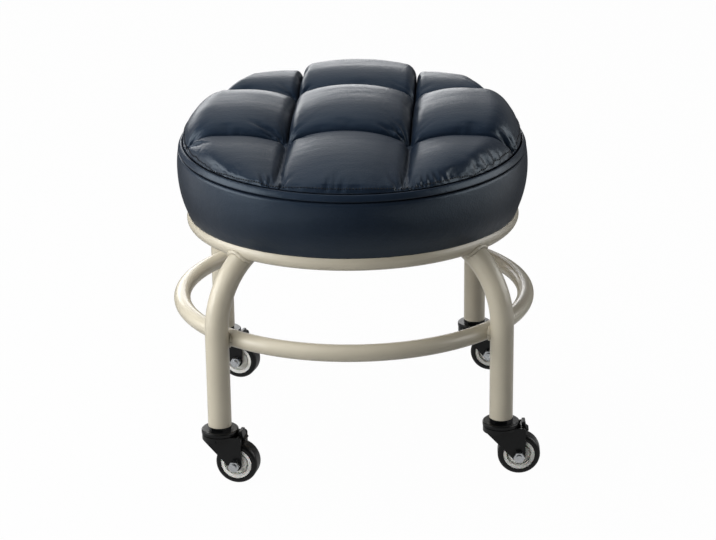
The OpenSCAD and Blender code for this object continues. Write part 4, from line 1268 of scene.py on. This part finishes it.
class CREEPER_OT_stage(bpy.types.Operator):
    """Sets the floor, the soft studio light, the world and the camera"""

    bl_idname = "creeper.stage"
    bl_label = "Stage"

    def execute(self, context):
        context.scene.view_settings.view_transform = "Standard"
        add_camera()
        for lamp in LAMPS:
            add_lamp(*lamp)
        self.add_room(context.scene)
        self.add_floor()
        return {"FINISHED"}

    def seen_rays(self, owner, path):
        """Finds the rays to which the white backdrop and floor show as they are."""
        rays = [path["Is Camera Ray"], path["Is Transmission Ray"]]
        return add_node(owner, "ShaderNodeMath", rays, operation="MAXIMUM")

    def add_room(self, scene):
        """A dim studio that is white to the camera, and bright behind and above to gloss."""
        world = bpy.data.worlds.new("studio_room")
        world.use_nodes = True
        scene.world = world
        world.node_tree.nodes.clear()
        path = add_node(world, "ShaderNodeLightPath").outputs
        way = add_node(world, "ShaderNodeTexCoord").outputs["Generated"]
        parts = add_node(world, "ShaderNodeSeparateXYZ", [way]).outputs
        light = [parts["Y"], *ROOM_REACH, ROOM_DIM, ROOM_LIGHT]
        room = add_node(world, "ShaderNodeMapRange", light)
        dim = add_node(world, "ShaderNodeBackground", [WHITE, room])
        white = add_node(world, "ShaderNodeBackground", [WHITE, 1.0])
        # Gloss shows the white of the backdrop and ceiling, and the dim studio elsewhere
        sideways = add_node(world, "ShaderNodeMath", [parts["X"]], operation="ABSOLUTE")
        upward = parts["Y"]
        for along, share in zip((parts["Z"], sideways, parts["X"]), WAY_SHARES):
            upward = add_node(
                world, "ShaderNodeMath", [along, share, upward], operation="MULTIPLY_ADD"
            )
        behind = add_node(world, "ShaderNodeMapRange", [upward, *GLOSS_REACH, 0.0, ROOM_GLOSS])
        part = add_node(
            world, "ShaderNodeMath", [path["Is Glossy Ray"], behind, self.seen_rays(world, path)],
            operation="MULTIPLY_ADD", use_clamp=True,
        )
        both = add_node(world, "ShaderNodeMixShader", [part, dim, white])
        add_node(world, "ShaderNodeOutputWorld", {"Surface": both})

    def add_floor(self):
        """A wide pale floor that keeps the stool's shadow and stays white to the camera."""
        material = bpy.data.materials.new("pale_studio_floor")
        material.use_nodes = True
        material.node_tree.nodes.clear()
        path = add_node(material, "ShaderNodeLightPath").outputs
        spot = add_node(material, "ShaderNodeTexCoord").outputs["Object"]
        place = add_node(material, "ShaderNodeSeparateXYZ", [spot]).outputs
        matte = add_node(material, "ShaderNodeBsdfDiffuse", {"Color": (*[FLOOR_GREY] * 3, 1)})
        # Gloss shows a floor that is white well to either side, a little more at the left, and dim
        # in front of and behind the stool
        beside = add_node(material, "ShaderNodeMath", [place["X"]], operation="ABSOLUTE")
        rear = add_node(material, "ShaderNodeMath", [place["Y"], 0.0], operation="MAXIMUM")
        for along, share in ((place["X"], LEFT_MORE), (rear, REAR_LESS)):
            beside = add_node(
                material, "ShaderNodeMath", [along, share, beside], operation="MULTIPLY_ADD"
            )
        far = add_node(material, "ShaderNodeMapRange", [beside, *FAR_FLOOR])
        # and fairly bright close to the casters
        reach = add_node(material, "ShaderNodeVectorMath", [spot], operation="LENGTH")
        near = add_node(material, "ShaderNodeMapRange", [reach.outputs["Value"], *NEAR_FLOOR])
        bright = add_node(material, "ShaderNodeMath", [far, near], operation="MAXIMUM")
        glossy, seen = path["Is Glossy Ray"], self.seen_rays(material, path)
        # White at strength 1 to the camera, and as bright as worked out above to gloss
        strength = add_node(
            material, "ShaderNodeMath", [glossy, bright, seen], operation="MULTIPLY_ADD"
        )
        glow = add_node(material, "ShaderNodeEmission", [WHITE, strength])
        part = add_node(material, "ShaderNodeMath", [seen, FLOOR_SEEN], operation="MULTIPLY")
        part = add_node(
            material, "ShaderNodeMath", [glossy, FLOOR_GLOSS, part], operation="MULTIPLY_ADD"
        )
        both = add_node(material, "ShaderNodeMixShader", [part, matte, glow])
        add_node(material, "ShaderNodeOutputMaterial", {"Surface": both})
        mesh = bpy.data.meshes.new("studio_floor")
        low, high = -FLOOR_HALF, FLOOR_HALF
        corners = [(low, low, 0), (high, low, 0), (high, high, 0), (low, high, 0)]
        mesh.from_pydata(corners, [], [(0, 1, 2, 3)])
        mesh.materials.append(material)
        floor = bpy.data.objects.new("studio_floor", mesh)
        bpy.context.scene.collection.objects.link(floor)


# Finishes of the CAD nodes


class CREEPER_OT_finishes(bpy.types.Operator):
    """Gives every CAD node the finish of its material slot"""

    bl_idname = "creeper.finishes"
    bl_label = "Frame and caster finishes"

    def execute(self, context):
        for part in frame["record"]["subparts"]:
            node = frame["nodes"][part["node"]]
            node.data.materials.clear()
            node.data.materials.append(finish(part["material_slot"]))
        return {"FINISHED"}


class CREEPER_PT_panel(bpy.types.Panel):
    """Lists the settings and the pieces"""

    bl_idname = "CREEPER_PT_panel"
    bl_label = "Creeper seat"
    bl_space_type = "VIEW_3D"
    bl_region_type = "UI"
    bl_category = "Creeper seat"

    def draw(self, context):
        for name in CreeperSeatSettings.__annotations__:
            self.layout.prop(context.scene.creeper_seat, name)
        for operator in OPERATORS:
            self.layout.operator(operator.bl_idname)


OPERATORS = (
    CREEPER_OT_stage,
    CREEPER_OT_finishes,
    CREEPER_OT_cushion_top,
    CREEPER_OT_seam_thread,
    CREEPER_OT_cushion_side,
    CREEPER_OT_foam_core,
    CREEPER_OT_weld_beads,
    CREEPER_OT_staples,
)
CLASSES = (CreeperSeatSettings, *OPERATORS, CREEPER_PT_panel)


def register():
    for each in CLASSES:
        bpy.utils.register_class(each)
    bpy.types.Scene.creeper_seat = PointerProperty(type=CreeperSeatSettings)


def unregister():
    del bpy.types.Scene.creeper_seat
    for each in reversed(CLASSES):
        bpy.utils.unregister_class(each)


def main():
    register()
    for operator in OPERATORS:
        group, name = operator.bl_idname.split(".")
        getattr(getattr(bpy.ops, group), name)()


if __name__ == "__main__":
    main()
